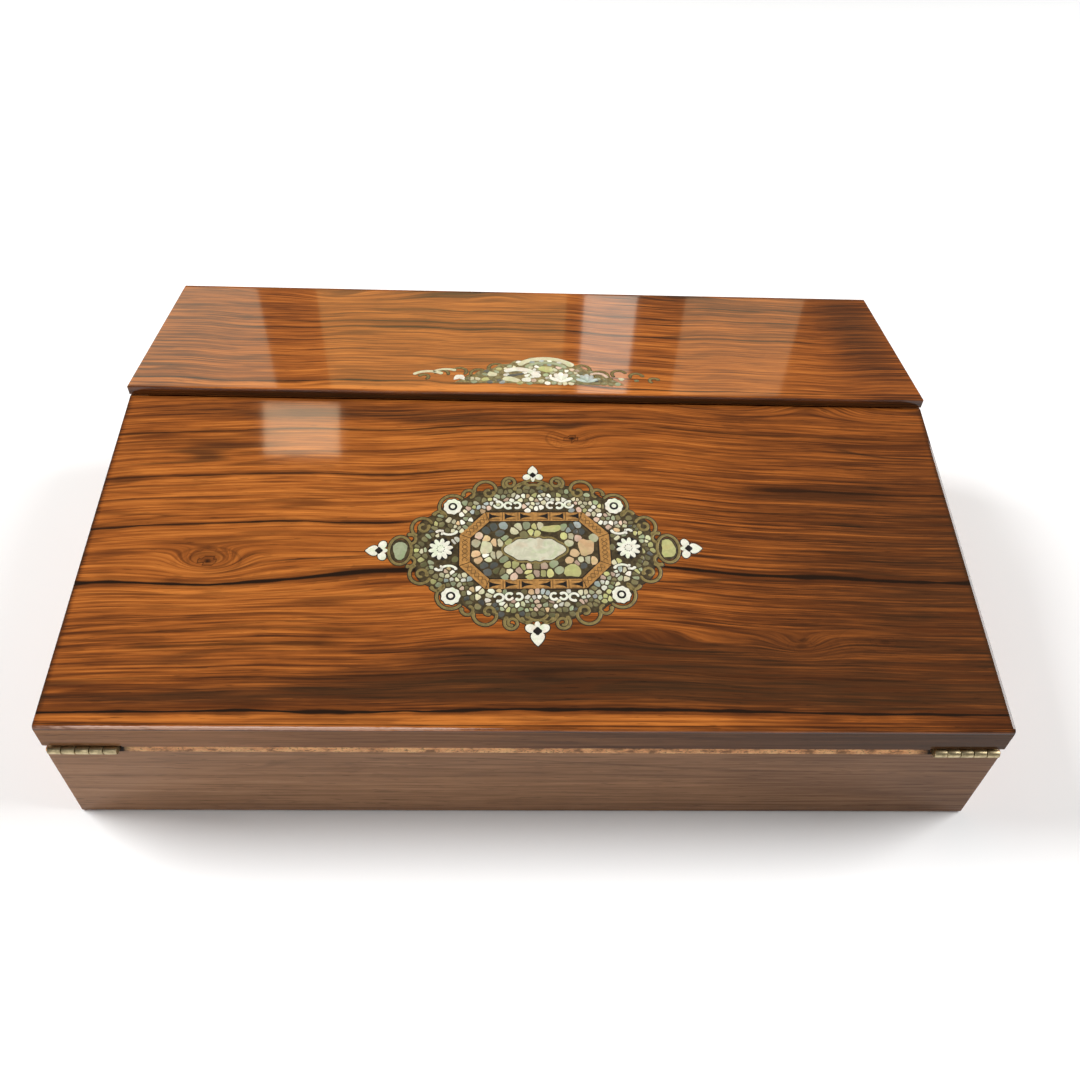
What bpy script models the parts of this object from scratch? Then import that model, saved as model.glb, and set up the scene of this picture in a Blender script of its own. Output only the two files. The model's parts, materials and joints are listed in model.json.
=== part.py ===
"""Writing slope: a veneered case with a sloping lid hinged along its front and a lift-off flap at the back.

Frame: +X to the right, +Y to the back, +Z up, in metres. The origin is the centre of the underside.
"""

import math

import bmesh
import bpy
import numpy as np
from mathutils import Matrix, Vector

MM = 0.001

# Driving dimensions of the box.
WIDTH = 360 * MM
DEPTH = 243 * MM
FRONT_HEIGHT = 57.2 * MM  # top arris of the slope lid, above the table
SEAM_HEIGHT = 44.0 * MM  # where lid and case meet on the front face
SLOPE_RUN = 148.0 * MM  # front face to the flap's front edge
TOP_HEIGHT = 104.0 * MM
FLAP_THICKNESS = 4.5 * MM
FLAP_OVERHANG = 0.4 * MM  # past the case on each side
WALL = 8.0 * MM
BOTTOM_THICKNESS = 5.5 * MM
GAP = 0.3 * MM  # between neighbouring pieces

# Rounded and cut edges.
LID_ARRIS_RADIUS = 2.0 * MM
EDGE_ROUNDING = 0.5 * MM
LID_SEAM_CHAMFER = 2.1 * MM
CASE_SEAM_CHAMFER = 2.6 * MM

# Butt hinges: five knuckles each, let in at the two ends of the seam.
HINGE_LENGTH = 25.4 * MM
HINGE_END_MARGIN = 2.0 * MM  # from the box's side to the hinge's outer end
KNUCKLE_COUNT = 5
KNUCKLE_RADIUS = 1.6 * MM
KNUCKLE_GAP = 0.3 * MM
PIN_RADIUS = 0.65 * MM
BORE_RADIUS = 0.9 * MM
AXIS_PROUD = 0.6 * MM  # the pin's axis stands this far in front of the front face
LEAF_THICKNESS = 0.9 * MM
LEAF_START = 2.1 * MM  # from the axis to the plate of a leaf
LEAF_END = 7.8 * MM
MORTISE_RADIUS = 2.0 * MM
MORTISE_SPARE = 1.6 * MM  # open length past the hinge's inner end

# Inlay let into the slope lid, measured from its own centre.
INLAY_THICKNESS = 0.8 * MM
RECESS_DEPTH = 1.1 * MM
MEDALLION_ACROSS = 1.3 * MM
MEDALLION_UP = 76.0 * MM  # from the front arris, along the slope
MEDALLION_TURN = math.radians(1.2)
MEDALLION_CORE = (56.0 * MM, 32.0 * MM, 1.4)  # half width, half height, power of the lozenge
LOBE_PATH = (54.0, 34.5, 1.5)  # lozenge through the lobes' centres, like the core but in millimetres
LOBE_COUNT = 7  # in each quarter
LOBE_SPAN = (math.radians(5), math.radians(75))  # from the first lobe to the last, along the lozenge
LOBE_RADIUS = 4.4  # millimetres
LOBE_SWING = 0.8  # how much wider and narrower the lobes are, in turn
FRAME_OUTER = (31.0 * MM, 18.4 * MM, 20.5 * MM, 7.7 * MM)  # half width, half height, corner across, up
FRAME_BAND = 4.7 * MM
PLAQUE = (12.0 * MM, 5.2 * MM, 2.1)  # half width, half height, power of the oval
PLAQUE_SCALLOPS = 10
PLAQUE_WAVE = 0.05  # depth of the scallops, as a share of the reach
TREFOIL_SIDE_REACH = 63.9 * MM
TREFOIL_END_REACH = 38.0 * MM
TREFOIL_LOBES = (  # along the pointing direction, across it, radius in millimetres
    (-1.5, 2.2, 1.7),
    (-1.5, -2.2, 1.7),
    (1.4, 0.0, 1.6),
    (2.8, 0.0, 1.0),
    (4.0, 0.0, 0.5),
)

# Half medallion let into the flap: a shell over a scalloped strip that stands on a line.
FLAP_INLAY_ACROSS = 2.6 * MM
FLAP_INLAY_LINE = 7.8 * MM  # from the flap's front edge
FLAP_INLAY_CORE = (52.0 * MM, 15.0 * MM, 1.5)
FLAP_INLAY_LOBES = (
    (56.5, 3.6, 3.2),
    (47.0, 3.4, 4.0),
    (36.5, 5.4, 5.2),
    (25.5, 8.8, 5.6),
    (12.0, 13.0, 8.0),
    (0.0, 13.5, 9.0),
)
SHELL_RADIUS = 12.0 * MM

FRONT_Y = -DEPTH / 2
BACK_Y = DEPTH / 2
SIDE_X = WIDTH / 2
FLAP_FRONT_Y = FRONT_Y + SLOPE_RUN
FLAP_UNDERSIDE = TOP_HEIGHT - FLAP_THICKNESS
SLOPE_ANGLE = math.atan2(FLAP_UNDERSIDE - FRONT_HEIGHT, SLOPE_RUN)
SLOPE_MATRIX = Matrix.Translation((0, FRONT_Y, FRONT_HEIGHT)) @ Matrix.Rotation(SLOPE_ANGLE, 4, "X")
FLAP_MATRIX = Matrix.Translation((0, FLAP_FRONT_Y, TOP_HEIGHT))
AXIS_Y = FRONT_Y - AXIS_PROUD
AXIS_Z = SEAM_HEIGHT
QUARTER_TURN = math.pi / 2
WELD_DISTANCE = 0.001 * MM


def seam_height(y):
    """Height of the seam plane between case and slope lid, which is parallel to the slope."""
    return SEAM_HEIGHT + (y - FRONT_Y) * math.tan(SLOPE_ANGLE)


def clear_scene():
    for obj in list(bpy.data.objects):
        bpy.data.objects.remove(obj, do_unlink=True)


def new_collection(name, hidden=False):
    collection = bpy.data.collections.new(name)
    bpy.context.scene.collection.children.link(collection)
    collection.hide_render = hidden
    return collection


def new_material(name, colour, roughness, metallic=0.0):
    material = bpy.data.materials.new(name)
    material.use_nodes = True
    shader = material.node_tree.nodes["Principled BSDF"]
    shader.inputs["Base Color"].default_value = (*colour, 1)
    shader.inputs["Roughness"].default_value = roughness
    shader.inputs["Metallic"].default_value = metallic
    return material


def new_part(name, mesh, material):
    """A visible sub-part in the object's collection."""
    obj = bpy.data.objects.new(name, mesh)
    PARTS.objects.link(obj)
    if not mesh.materials:
        mesh.materials.append(material)
    return obj


def new_cutter(name, mesh):
    obj = bpy.data.objects.new(name, mesh)
    CUTTERS.objects.link(obj)
    obj.hide_render = True
    obj.display_type = "WIRE"
    return obj


def combine(obj, tool, operation):
    modifier = obj.modifiers.new(tool.name, "BOOLEAN")
    modifier.operation = operation
    modifier.solver = "EXACT"
    modifier.object = tool


def evaluated_mesh(obj):
    """The object's mesh with its modifiers applied."""
    bpy.context.view_layer.update()
    graph = bpy.context.evaluated_depsgraph_get()
    return bpy.data.meshes.new_from_object(obj.evaluated_get(graph))


def round_edges(obj, width):
    modifier = obj.modifiers.new("rounded edges", "BEVEL")
    modifier.width = width
    modifier.segments = 2
    modifier.limit_method = "ANGLE"
    modifier.angle_limit = math.radians(40)


def flat_mesh(name, outlines, thickness, low=0.0):
    """A plate from closed outlines, holes included, its underside at height low over the outlines' plane."""
    curve = bpy.data.curves.new(name, "CURVE")
    curve.dimensions = "2D"
    curve.fill_mode = "BOTH"
    curve.extrude = thickness / 2
    for outline in outlines:
        spline = curve.splines.new("POLY")
        spline.points.add(len(outline) - 1)
        for point, (across, up) in zip(spline.points, outline):
            point.co = (across, up, 0, 1)
        spline.use_cyclic_u = True
    holder = bpy.data.objects.new(name, curve)
    bpy.context.scene.collection.objects.link(holder)
    mesh = evaluated_mesh(holder)
    bpy.data.objects.remove(holder)
    bpy.data.curves.remove(curve)
    work = bmesh.new()
    work.from_mesh(mesh)
    bmesh.ops.remove_doubles(work, verts=work.verts, dist=WELD_DISTANCE)
    bmesh.ops.recalc_face_normals(work, faces=work.faces)
    work.to_mesh(mesh)
    work.free()
    mesh.transform(Matrix.Translation((0, 0, low + thickness / 2)))
    mesh.name = name
    return mesh


def profile_mesh(name, outline, width, centre_x=0.0):
    """A board from its side view, (y, z) points, carried across the given width."""
    mesh = flat_mesh(name, [outline], width, -width / 2)
    turn = Matrix.Rotation(QUARTER_TURN, 4, "Z") @ Matrix.Rotation(QUARTER_TURN, 4, "X")
    mesh.transform(Matrix.Translation((centre_x, 0, 0)) @ turn)
    return mesh


def box_mesh(name, low, high):
    """A box between two corners."""
    work = bmesh.new()
    bmesh.ops.create_cube(work, size=1.0)
    size = Vector(high) - Vector(low)
    middle = (Vector(high) + Vector(low)) / 2
    bmesh.ops.transform(work, matrix=Matrix.LocRotScale(middle, None, size), verts=work.verts)
    mesh = bpy.data.meshes.new(name)
    work.to_mesh(mesh)
    work.free()
    return mesh


def cylinder_mesh(name, radius, x_low, x_high, sides=20):
    """A rod along the hinge's own X axis."""
    work = bmesh.new()
    bmesh.ops.create_cone(
        work, cap_ends=True, segments=sides, radius1=radius, radius2=radius, depth=x_high - x_low
    )
    place = Matrix.Translation(((x_low + x_high) / 2, 0, 0)) @ Matrix.Rotation(QUARTER_TURN, 4, "Y")
    bmesh.ops.transform(work, matrix=place, verts=work.verts)
    mesh = bpy.data.meshes.new(name)
    work.to_mesh(mesh)
    work.free()
    mesh.shade_smooth()
    mesh.set_sharp_from_angle(angle=math.radians(40))
    return mesh


def arc(centre, radius, start, end, steps):
    """Points on a circle's arc, angles in radians."""
    angles = np.linspace(start, end, steps + 1)
    return [(centre[0] + radius * math.cos(a), centre[1] + radius * math.sin(a)) for a in angles]


def mirrored_lobes(lobes, both_ways):
    """The lobes in metres, mirrored left to right and, if asked, up and down."""
    ups = (1, -1) if both_ways else (1,)
    found = {(s * u * MM, t * v * MM, r * MM) for u, v, r in lobes for s in (1, -1) for t in ups}
    return sorted(found)


def border_lobes():
    """Discs at even steps along the first quarter of a lozenge, wide and narrow in turn."""
    half_width, half_height, power = LOBE_PATH
    lobes = []
    for index, angle in enumerate(np.linspace(*LOBE_SPAN, LOBE_COUNT)):
        across = half_width * math.cos(angle) ** (2 / power)
        up = half_height * math.sin(angle) ** (2 / power)
        lobes.append((across, up, LOBE_RADIUS + LOBE_SWING * (-1) ** index))
    return lobes


def scalloped_oval(half_width, half_height, power, scallops, wave, steps=80):
    """The oval |u / a| ** n + |v / b| ** n = 1, its reach times 1 + wave * cos(scallops * angle)."""
    outline = []
    for angle in np.linspace(0, 2 * math.pi, steps, endpoint=False):
        across, up = math.cos(angle), math.sin(angle)
        oval = (abs(across / half_width) ** power + abs(up / half_height) ** power) ** (-1 / power)
        reach = oval * (1 + wave * math.cos(scallops * angle))
        outline.append((reach * across, reach * up))
    return outline


def farthest_reach(angles, lobes, core, clearance):
    """How far, in each direction from the centre, a set of discs and a lozenge reach.

    The lozenge is |u / a| ** n + |v / b| ** n = 1. The clearance widens every shape.
    """
    across, up = np.cos(angles), np.sin(angles)
    reach = np.zeros(len(angles))
    if core:
        a, b, n = core
        lozenge = np.abs(across / (a + clearance)) ** n + np.abs(up / (b + clearance)) ** n
        reach = lozenge ** (-1 / n)
    for u, v, r in lobes:
        along = u * across + v * up
        inside = (r + clearance) ** 2 - (u * u + v * v - along * along)
        hit = np.where(inside > 0, along + np.sqrt(np.maximum(inside, 0)), 0)
        reach = np.maximum(reach, hit)
    return reach


def star_outline(lobes, core, clearance=0.0, steps=200):
    """The closed outline of those shapes together."""
    angles = np.linspace(0, 2 * math.pi, steps, endpoint=False)
    reach = farthest_reach(angles, lobes, core, clearance)
    return [(float(r * math.cos(a)), float(r * math.sin(a))) for r, a in zip(reach, angles)]


def half_star_outline(lobes, core, clearance=0.0, steps=120):
    """The outline's upper half, standing on a straight line that the clearance lowers."""
    angles = np.linspace(0, math.pi, steps + 1)
    reach = farthest_reach(angles, lobes, core, clearance)
    points = [(float(r * math.cos(a)), float(r * math.sin(a))) for r, a in zip(reach, angles)]
    return [(points[0][0], -clearance), *points[1:-1], (points[-1][0], -clearance)]


def offset_outline(outline, distance):
    """The outline with every side moved outwards, for an anticlockwise polygon."""
    points = [Vector(p) for p in outline]
    moved = []
    for i, point in enumerate(points):
        before = (point - points[i - 1]).normalized()
        after = (points[(i + 1) % len(points)] - point).normalized()
        out_before = Vector((before.y, -before.x))
        out_after = Vector((after.y, -after.x))
        mitre = (out_before + out_after).normalized()
        moved.append(tuple(point + mitre * distance / mitre.dot(out_before)))
    return moved


def four_way(quarter):
    """A closed outline from the points of its first quarter, taken anticlockwise from +u."""
    upper = list(quarter) + [(-u, v) for u, v in reversed(quarter)]
    lower = [(u, -v) for u, v in reversed(upper) if v > 0]
    outline = upper + lower
    return [p for i, p in enumerate(outline) if p != outline[i - 1]]


def octagon(half_width, half_height, corner_across, corner_up):
    return four_way([(half_width, corner_up), (corner_across, half_height)])


def make_case():
    """Front and back boards across the full width, side boards and a bottom between them."""
    chamfer = CASE_SEAM_CHAMFER
    inner_y = FRONT_Y + WALL
    half_gap = GAP / 2
    front_side_view = [
        (FRONT_Y, 0),
        (inner_y, 0),
        (inner_y, seam_height(inner_y) - half_gap),
        (FRONT_Y + chamfer, seam_height(FRONT_Y + chamfer) - half_gap),
        (FRONT_Y, SEAM_HEIGHT - chamfer),
    ]
    front = new_part("case_front", profile_mesh("case_front", front_side_view, WIDTH), ROSEWOOD)
    rest_height = FLAP_UNDERSIDE - GAP
    back_mesh = box_mesh("case_back", (-SIDE_X, BACK_Y - WALL, 0), (SIDE_X, BACK_Y, rest_height))
    new_part("case_back", back_mesh, ROSEWOOD)
    start_y = inner_y + GAP
    end_y = BACK_Y - WALL - GAP
    side_view = [
        (start_y, 0),
        (end_y, 0),
        (end_y, rest_height),
        (FLAP_FRONT_Y, rest_height),
        (FLAP_FRONT_Y, seam_height(FLAP_FRONT_Y) - half_gap),
        (start_y, seam_height(start_y) - half_gap),
    ]
    for side, sign in (("left", -1), ("right", 1)):
        name = f"case_{side}_side"
        new_part(name, profile_mesh(name, side_view, WALL, sign * (SIDE_X - WALL / 2)), ROSEWOOD)
    inner_x = SIDE_X - WALL - GAP
    bottom_mesh = box_mesh("case_bottom", (-inner_x, start_y, 0), (inner_x, end_y, BOTTOM_THICKNESS))
    new_part("case_bottom", bottom_mesh, INNER_WOOD)
    return front


def make_slope_lid():
    """A board parallel to the slope, its front arris rounded and its lower front edge chamfered."""
    end_y = FLAP_FRONT_Y - GAP
    chamfer = LID_SEAM_CHAMFER
    half_gap = GAP / 2
    slope = math.tan(SLOPE_ANGLE)
    # The rounding touches the front face and the slope, so it turns through 90 degrees less the slope.
    centre_y = FRONT_Y + LID_ARRIS_RADIUS
    touch = LID_ARRIS_RADIUS * math.tan((QUARTER_TURN - SLOPE_ANGLE) / 2)
    centre = (centre_y, FRONT_HEIGHT - touch)
    rounding = arc(centre, LID_ARRIS_RADIUS, QUARTER_TURN + SLOPE_ANGLE, math.pi, 4)
    side_view = [
        (FRONT_Y, SEAM_HEIGHT + chamfer),
        (FRONT_Y + chamfer, seam_height(FRONT_Y + chamfer) + half_gap),
        (end_y, seam_height(end_y) + half_gap),
        (end_y, FRONT_HEIGHT + (end_y - FRONT_Y) * slope),
        *rounding,
    ]
    lid = new_part("slope_lid", profile_mesh("slope_lid", side_view, WIDTH), ROSEWOOD)
    round_edges(lid, EDGE_ROUNDING)
    return lid


def make_top_flap():
    reach = SIDE_X + FLAP_OVERHANG
    mesh = box_mesh("top_flap", (-reach, FLAP_FRONT_Y, FLAP_UNDERSIDE), (reach, BACK_Y, TOP_HEIGHT))
    flap = new_part("top_flap", mesh, ROSEWOOD)
    round_edges(flap, EDGE_ROUNDING)
    return flap


def make_leaf_mesh(name, first, side):
    """One leaf in the hinge's own axes: a plate on one side of the seam, with its knuckles and their bore.

    first is the leaf's first knuckle, counted from 0, and side is +1 for the lid's leaf, -1 for the case's.
    """
    half_gap = GAP / 2
    near, far = side * half_gap, side * (half_gap + LEAF_THICKNESS)
    half = HINGE_LENGTH / 2
    low = (-half, LEAF_START, min(near, far))
    high = (half, LEAF_END, max(near, far))
    leaf = new_cutter(name, box_mesh(name, low, high))
    start = math.asin(max(abs(near), abs(far)) / KNUCKLE_RADIUS)
    end = 2 * math.pi + math.asin(min(abs(near), abs(far)) / KNUCKLE_RADIUS)
    reach = LEAF_START + 1.0 * MM
    outline = [(reach, abs(far)), *arc((0, 0), KNUCKLE_RADIUS, start, end, 20), (reach, abs(near))]
    if side < 0:
        outline = [(y, -z) for y, z in reversed(outline)]
    pitch = HINGE_LENGTH / KNUCKLE_COUNT
    for index in range(first, KNUCKLE_COUNT, 2):
        centre = -half + pitch * (index + 0.5)
        knuckle_name = f"{name} knuckle {index}"
        knuckle_mesh = profile_mesh(knuckle_name, outline, pitch - KNUCKLE_GAP, centre)
        combine(leaf, new_cutter(knuckle_name, knuckle_mesh), "UNION")
    spare = 2 * MM
    bore_name = f"{name} bore"
    bore_mesh = cylinder_mesh(bore_name, BORE_RADIUS, -half - spare, half + spare, 16)
    combine(leaf, new_cutter(bore_name, bore_mesh), "DIFFERENCE")
    mesh = evaluated_mesh(leaf)
    mesh.shade_smooth()
    mesh.set_sharp_from_angle(angle=math.radians(40))
    mesh.materials.append(BRASS)
    return mesh


def hinge_matrix(centre_x):
    """Places the hinge's own axes: X along the pin, Y up the seam plane."""
    return Matrix.Translation((centre_x, AXIS_Y, AXIS_Z)) @ Matrix.Rotation(SLOPE_ANGLE, 4, "X")


def make_hinges(front, lid):
    """Both hinges, with the mortises they sit in: a round one for the knuckles, a flat one for each leaf."""
    case_leaf = make_leaf_mesh("case leaf", 0, -1)
    lid_leaf = make_leaf_mesh("lid leaf", 1, 1)
    half = HINGE_LENGTH / 2
    pin = cylinder_mesh("hinge pin", PIN_RADIUS, -half, half, 12)
    pin.materials.append(BRASS)
    depth = GAP / 2 + LEAF_THICKNESS + GAP
    far = LEAF_END + GAP
    for side, sign in (("left", -1), ("right", 1)):
        centre_x = sign * (SIDE_X - HINGE_END_MARGIN - half)
        pivot = bpy.data.objects.new(f"{side} hinge", None)
        PARTS.objects.link(pivot)
        pivot.matrix_world = hinge_matrix(centre_x)
        for part_name, mesh in (("case_leaf", case_leaf), ("lid_leaf", lid_leaf), ("pin", pin)):
            part = new_part(f"{side}_hinge_{part_name}", mesh, BRASS)
            part.parent = pivot
        inner, outer = -sign * (half + MORTISE_SPARE), sign * (half + 5 * MM)
        x_low, x_high = min(inner, outer), max(inner, outer)
        round_mesh = cylinder_mesh(f"{side} knuckle mortise", MORTISE_RADIUS, x_low, x_high, 24)
        flat_low, flat_high = (x_low, 0, -depth), (x_high, far, depth)
        inner_flat = -sign * (half + GAP)
        if sign < 0:
            flat_high = (inner_flat, far, depth)
        else:
            flat_low = (inner_flat, 0, -depth)
        leaf_mesh = box_mesh(f"{side} leaf mortise", flat_low, flat_high)
        for mesh in (round_mesh, leaf_mesh):
            cutter = new_cutter(mesh.name, mesh)
            cutter.parent = pivot
            combine(front, cutter, "DIFFERENCE")
            combine(lid, cutter, "DIFFERENCE")


def plane_holder(name, matrix):
    holder = bpy.data.objects.new(name, None)
    PARTS.objects.link(holder)
    holder.matrix_world = matrix
    return holder


def lay_in(name, outlines, material, holder, place):
    """An inlay plate whose top is flush with the plane that its holder marks."""
    mesh = flat_mesh(name, outlines, INLAY_THICKNESS, -INLAY_THICKNESS)
    part = new_part(name, mesh, material)
    part.parent = holder
    part.matrix_local = place
    return part


def cut_recess(board, name, outline, holder, place):
    proud = 1.0 * MM
    mesh = flat_mesh(name, [outline], RECESS_DEPTH + proud, -RECESS_DEPTH)
    cutter = new_cutter(name, mesh)
    cutter.parent = holder
    cutter.matrix_local = place
    combine(board, cutter, "DIFFERENCE")


def make_medallion(lid):
    """Scalloped border, octagonal frame, field and plaque, one inside the other, and four trefoils."""
    holder = plane_holder("slope plane", SLOPE_MATRIX)
    place = Matrix.Translation((MEDALLION_ACROSS, MEDALLION_UP, 0)) @ Matrix.Rotation(MEDALLION_TURN, 4, "Z")
    lobes = mirrored_lobes(border_lobes(), True)
    frame_outer = octagon(*FRAME_OUTER)
    frame_inner = offset_outline(frame_outer, -FRAME_BAND)
    plaque = scalloped_oval(*PLAQUE, PLAQUE_SCALLOPS, PLAQUE_WAVE)
    border_outlines = [star_outline(lobes, MEDALLION_CORE), offset_outline(frame_outer, GAP)]
    lay_in("lid_inlay_border", border_outlines, BRASS, holder, place)
    lay_in("lid_inlay_frame", [frame_outer, frame_inner], COPPER, holder, place)
    field_outlines = [offset_outline(frame_inner, -GAP), offset_outline(plaque, GAP)]
    lay_in("lid_inlay_field", field_outlines, SHELL, holder, place)
    lay_in("lid_inlay_plaque", [plaque], PEARL, holder, place)
    cut_recess(lid, "medallion recess", star_outline(lobes, MEDALLION_CORE, GAP), holder, place)
    trefoil_lobes = [(u * MM, v * MM, r * MM) for u, v, r in TREFOIL_LOBES]
    tips = (
        ("right", TREFOIL_SIDE_REACH, 0),
        ("top", TREFOIL_END_REACH, 1),
        ("left", TREFOIL_SIDE_REACH, 2),
        ("bottom", TREFOIL_END_REACH, 3),
    )
    for name, reach, turns in tips:
        point = place @ Matrix.Rotation(turns * QUARTER_TURN, 4, "Z") @ Matrix.Translation((reach, 0, 0))
        outline = star_outline(trefoil_lobes, None, 0.0, 48)
        lay_in(f"lid_inlay_trefoil_{name}", [outline], PEARL, holder, point)
        grown = star_outline(trefoil_lobes, None, GAP, 48)
        cut_recess(lid, f"{name} trefoil recess", grown, holder, point)


def make_flap_inlay(flap):
    """A half medallion that stands on a line along the flap's front: a scalloped strip round a shell."""
    holder = plane_holder("flap plane", FLAP_MATRIX)
    place = Matrix.Translation((FLAP_INLAY_ACROSS, FLAP_INLAY_LINE, 0))
    lobes = mirrored_lobes(FLAP_INLAY_LOBES, False)
    border = half_star_outline(lobes, FLAP_INLAY_CORE)
    shell_floor = 1.0 * MM
    shell = [(u, v + shell_floor) for u, v in arc((0, 0), SHELL_RADIUS, 0, math.pi, 24)]
    lay_in("flap_inlay_border", [border, offset_outline(shell, GAP)], BRASS, holder, place)
    lay_in("flap_inlay_shell", [shell], PEARL, holder, place)
    grown = half_star_outline(lobes, FLAP_INLAY_CORE, GAP)
    cut_recess(flap, "half medallion recess", grown, holder, place)


clear_scene()
PARTS = new_collection("writing slope")
CUTTERS = new_collection("cutters", hidden=True)
ROSEWOOD = new_material("rosewood veneer", (0.30, 0.10, 0.03), 0.25)
INNER_WOOD = new_material("inner wood", (0.36, 0.17, 0.07), 0.5)
BRASS = new_material("worn brass", (0.55, 0.44, 0.22), 0.4, 1.0)
COPPER = new_material("coppery banding", (0.48, 0.22, 0.08), 0.4)
SHELL = new_material("abalone shell", (0.42, 0.42, 0.26), 0.3)
PEARL = new_material("pearl shell", (0.75, 0.75, 0.62), 0.3)
case_front = make_case()
slope_lid = make_slope_lid()
top_flap = make_top_flap()
make_hinges(case_front, slope_lid)
make_medallion(slope_lid)
make_flap_inlay(top_flap)
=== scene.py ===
"""Writing slope: the veneered case, its lid and flap, the hinges, the inlay, and a plain stage round them."""

import json
import math

import bmesh
import bpy
import numpy as np
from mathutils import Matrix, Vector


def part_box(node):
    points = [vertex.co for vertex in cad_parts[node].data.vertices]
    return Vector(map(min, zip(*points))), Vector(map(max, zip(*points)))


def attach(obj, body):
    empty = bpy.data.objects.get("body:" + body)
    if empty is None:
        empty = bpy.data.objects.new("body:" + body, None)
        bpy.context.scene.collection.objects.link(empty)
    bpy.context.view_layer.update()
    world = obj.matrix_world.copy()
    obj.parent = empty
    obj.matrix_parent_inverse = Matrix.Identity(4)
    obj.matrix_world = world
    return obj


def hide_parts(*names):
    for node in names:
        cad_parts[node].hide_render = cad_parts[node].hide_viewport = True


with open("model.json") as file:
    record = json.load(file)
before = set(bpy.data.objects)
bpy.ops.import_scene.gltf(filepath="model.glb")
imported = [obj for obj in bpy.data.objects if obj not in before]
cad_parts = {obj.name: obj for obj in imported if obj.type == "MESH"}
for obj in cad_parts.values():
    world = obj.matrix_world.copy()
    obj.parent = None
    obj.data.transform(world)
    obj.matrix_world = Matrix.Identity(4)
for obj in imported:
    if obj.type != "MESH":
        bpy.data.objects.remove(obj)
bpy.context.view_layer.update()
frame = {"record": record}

bl_info = {
    "name": "Writing Slope",
    "version": (1, 0, 0),
    "blender": (4, 5, 0),
    "location": "3D View > Sidebar > Writing Slope",
    "description": "Makes an inlaid writing slope round its packed frame",
    "category": "Object",
}

MM = 0.001
# How far below the packed top the flap's wood lies, in millimetres, so that its inlay stays within the box.
RELIEF = 0.22

# The packed frame's own sizes.
LID_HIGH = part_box("slope_lid")[1]
FLAP_LOW, FLAP_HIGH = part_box("top_flap")
FRONT_LOW, FRONT_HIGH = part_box("case_front")
BACK_LOW, BACK_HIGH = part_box("case_back")
SIDE_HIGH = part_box("case_right_side")[1]
BOTTOM_LOW, BOTTOM_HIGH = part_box("case_bottom")
LEAF_LOW, LEAF_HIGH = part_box("right_hinge_case_leaf")
AXIS_Y, AXIS_Z = frame["record"]["behaviour"]["joints"][0]["pos_m"][1:]
FRONT_Y = FRONT_LOW[1]
BACK_Y = BACK_HIGH[1]
SIDE_X = FRONT_HIGH[0]
WALL = FRONT_HIGH[1] - FRONT_Y
FLAP_FRONT_Y = FLAP_LOW[1]
HINGE_LENGTH = LEAF_HIGH[0] - LEAF_LOW[0]
HINGE_X = (LEAF_HIGH[0] + LEAF_LOW[0]) / 2
# Size of the small bevels along hidden edges, and of the one along the lid's back.
BEVEL = 0.3 * MM
BACK_BEVEL = 0.15 * MM


def size(name, default, description):
    """A length property, in metres."""
    return bpy.props.FloatProperty(
        name=name, default=default, description=description, unit="LENGTH", precision=5
    )


def colour(name, default, description):
    """A colour property."""
    return bpy.props.FloatVectorProperty(
        name=name, default=default, description=description, size=3, min=0, max=1, subtype="COLOR"
    )


class BoxSizes(bpy.types.PropertyGroup):
    """Sizes of the box, its edges and its hinges."""

    front_height: size("Front height", 57.2 * MM, "Top arris of the lid's front, above the table")
    arris_radius: size("Arris radius", 2.0 * MM, "Rounding between the lid's front and its slope")
    edge_radius: size("Edge radius", 0.35 * MM, "Rounding of the lid's and flap's other edges")
    corner_radius: size("Corner radius", 0.7 * MM, "Rounding of the case's upright corners")
    lid_chamfer: size("Lid chamfer", 1.4 * MM, "Bevel along the lid's lower front edge")
    case_chamfer: size("Case chamfer", 1.7 * MM, "Bevel along the case's upper front edge")
    seam_gap: size("Seam gap", 0.3 * MM, "Space between the lid and the case")
    leaf_thickness: size("Leaf thickness", 0.9 * MM, "Thickness of a hinge leaf")
    leaf_reach: size("Leaf reach", 7.8 * MM, "From the hinge's axis to the far edge of a leaf")
    knuckle_radius: size("Knuckle radius", 1.58 * MM, "Outer radius of a hinge's knuckles")
    pin_radius: size("Pin radius", 0.65 * MM, "Radius of a hinge's pin")


class InlayPlaces(bpy.types.PropertyGroup):
    """Where the inlays lie on the lid and on the flap."""

    medallion_across: size("Medallion across", 1.3 * MM, "From the lid's middle to the medallion's centre")
    medallion_up: size("Medallion up", 76.0 * MM, "From the front arris to the medallion's centre")
    medallion_turn: bpy.props.FloatProperty(
        name="Medallion turn", default=math.radians(1.2), subtype="ANGLE", description="Turn from square"
    )
    half_across: size("Half medallion across", 4.0 * MM, "From the flap's middle to the half medallion's")
    half_up: size("Half medallion up", 7.8 * MM, "From the flap's front edge to the line it stands on")


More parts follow.
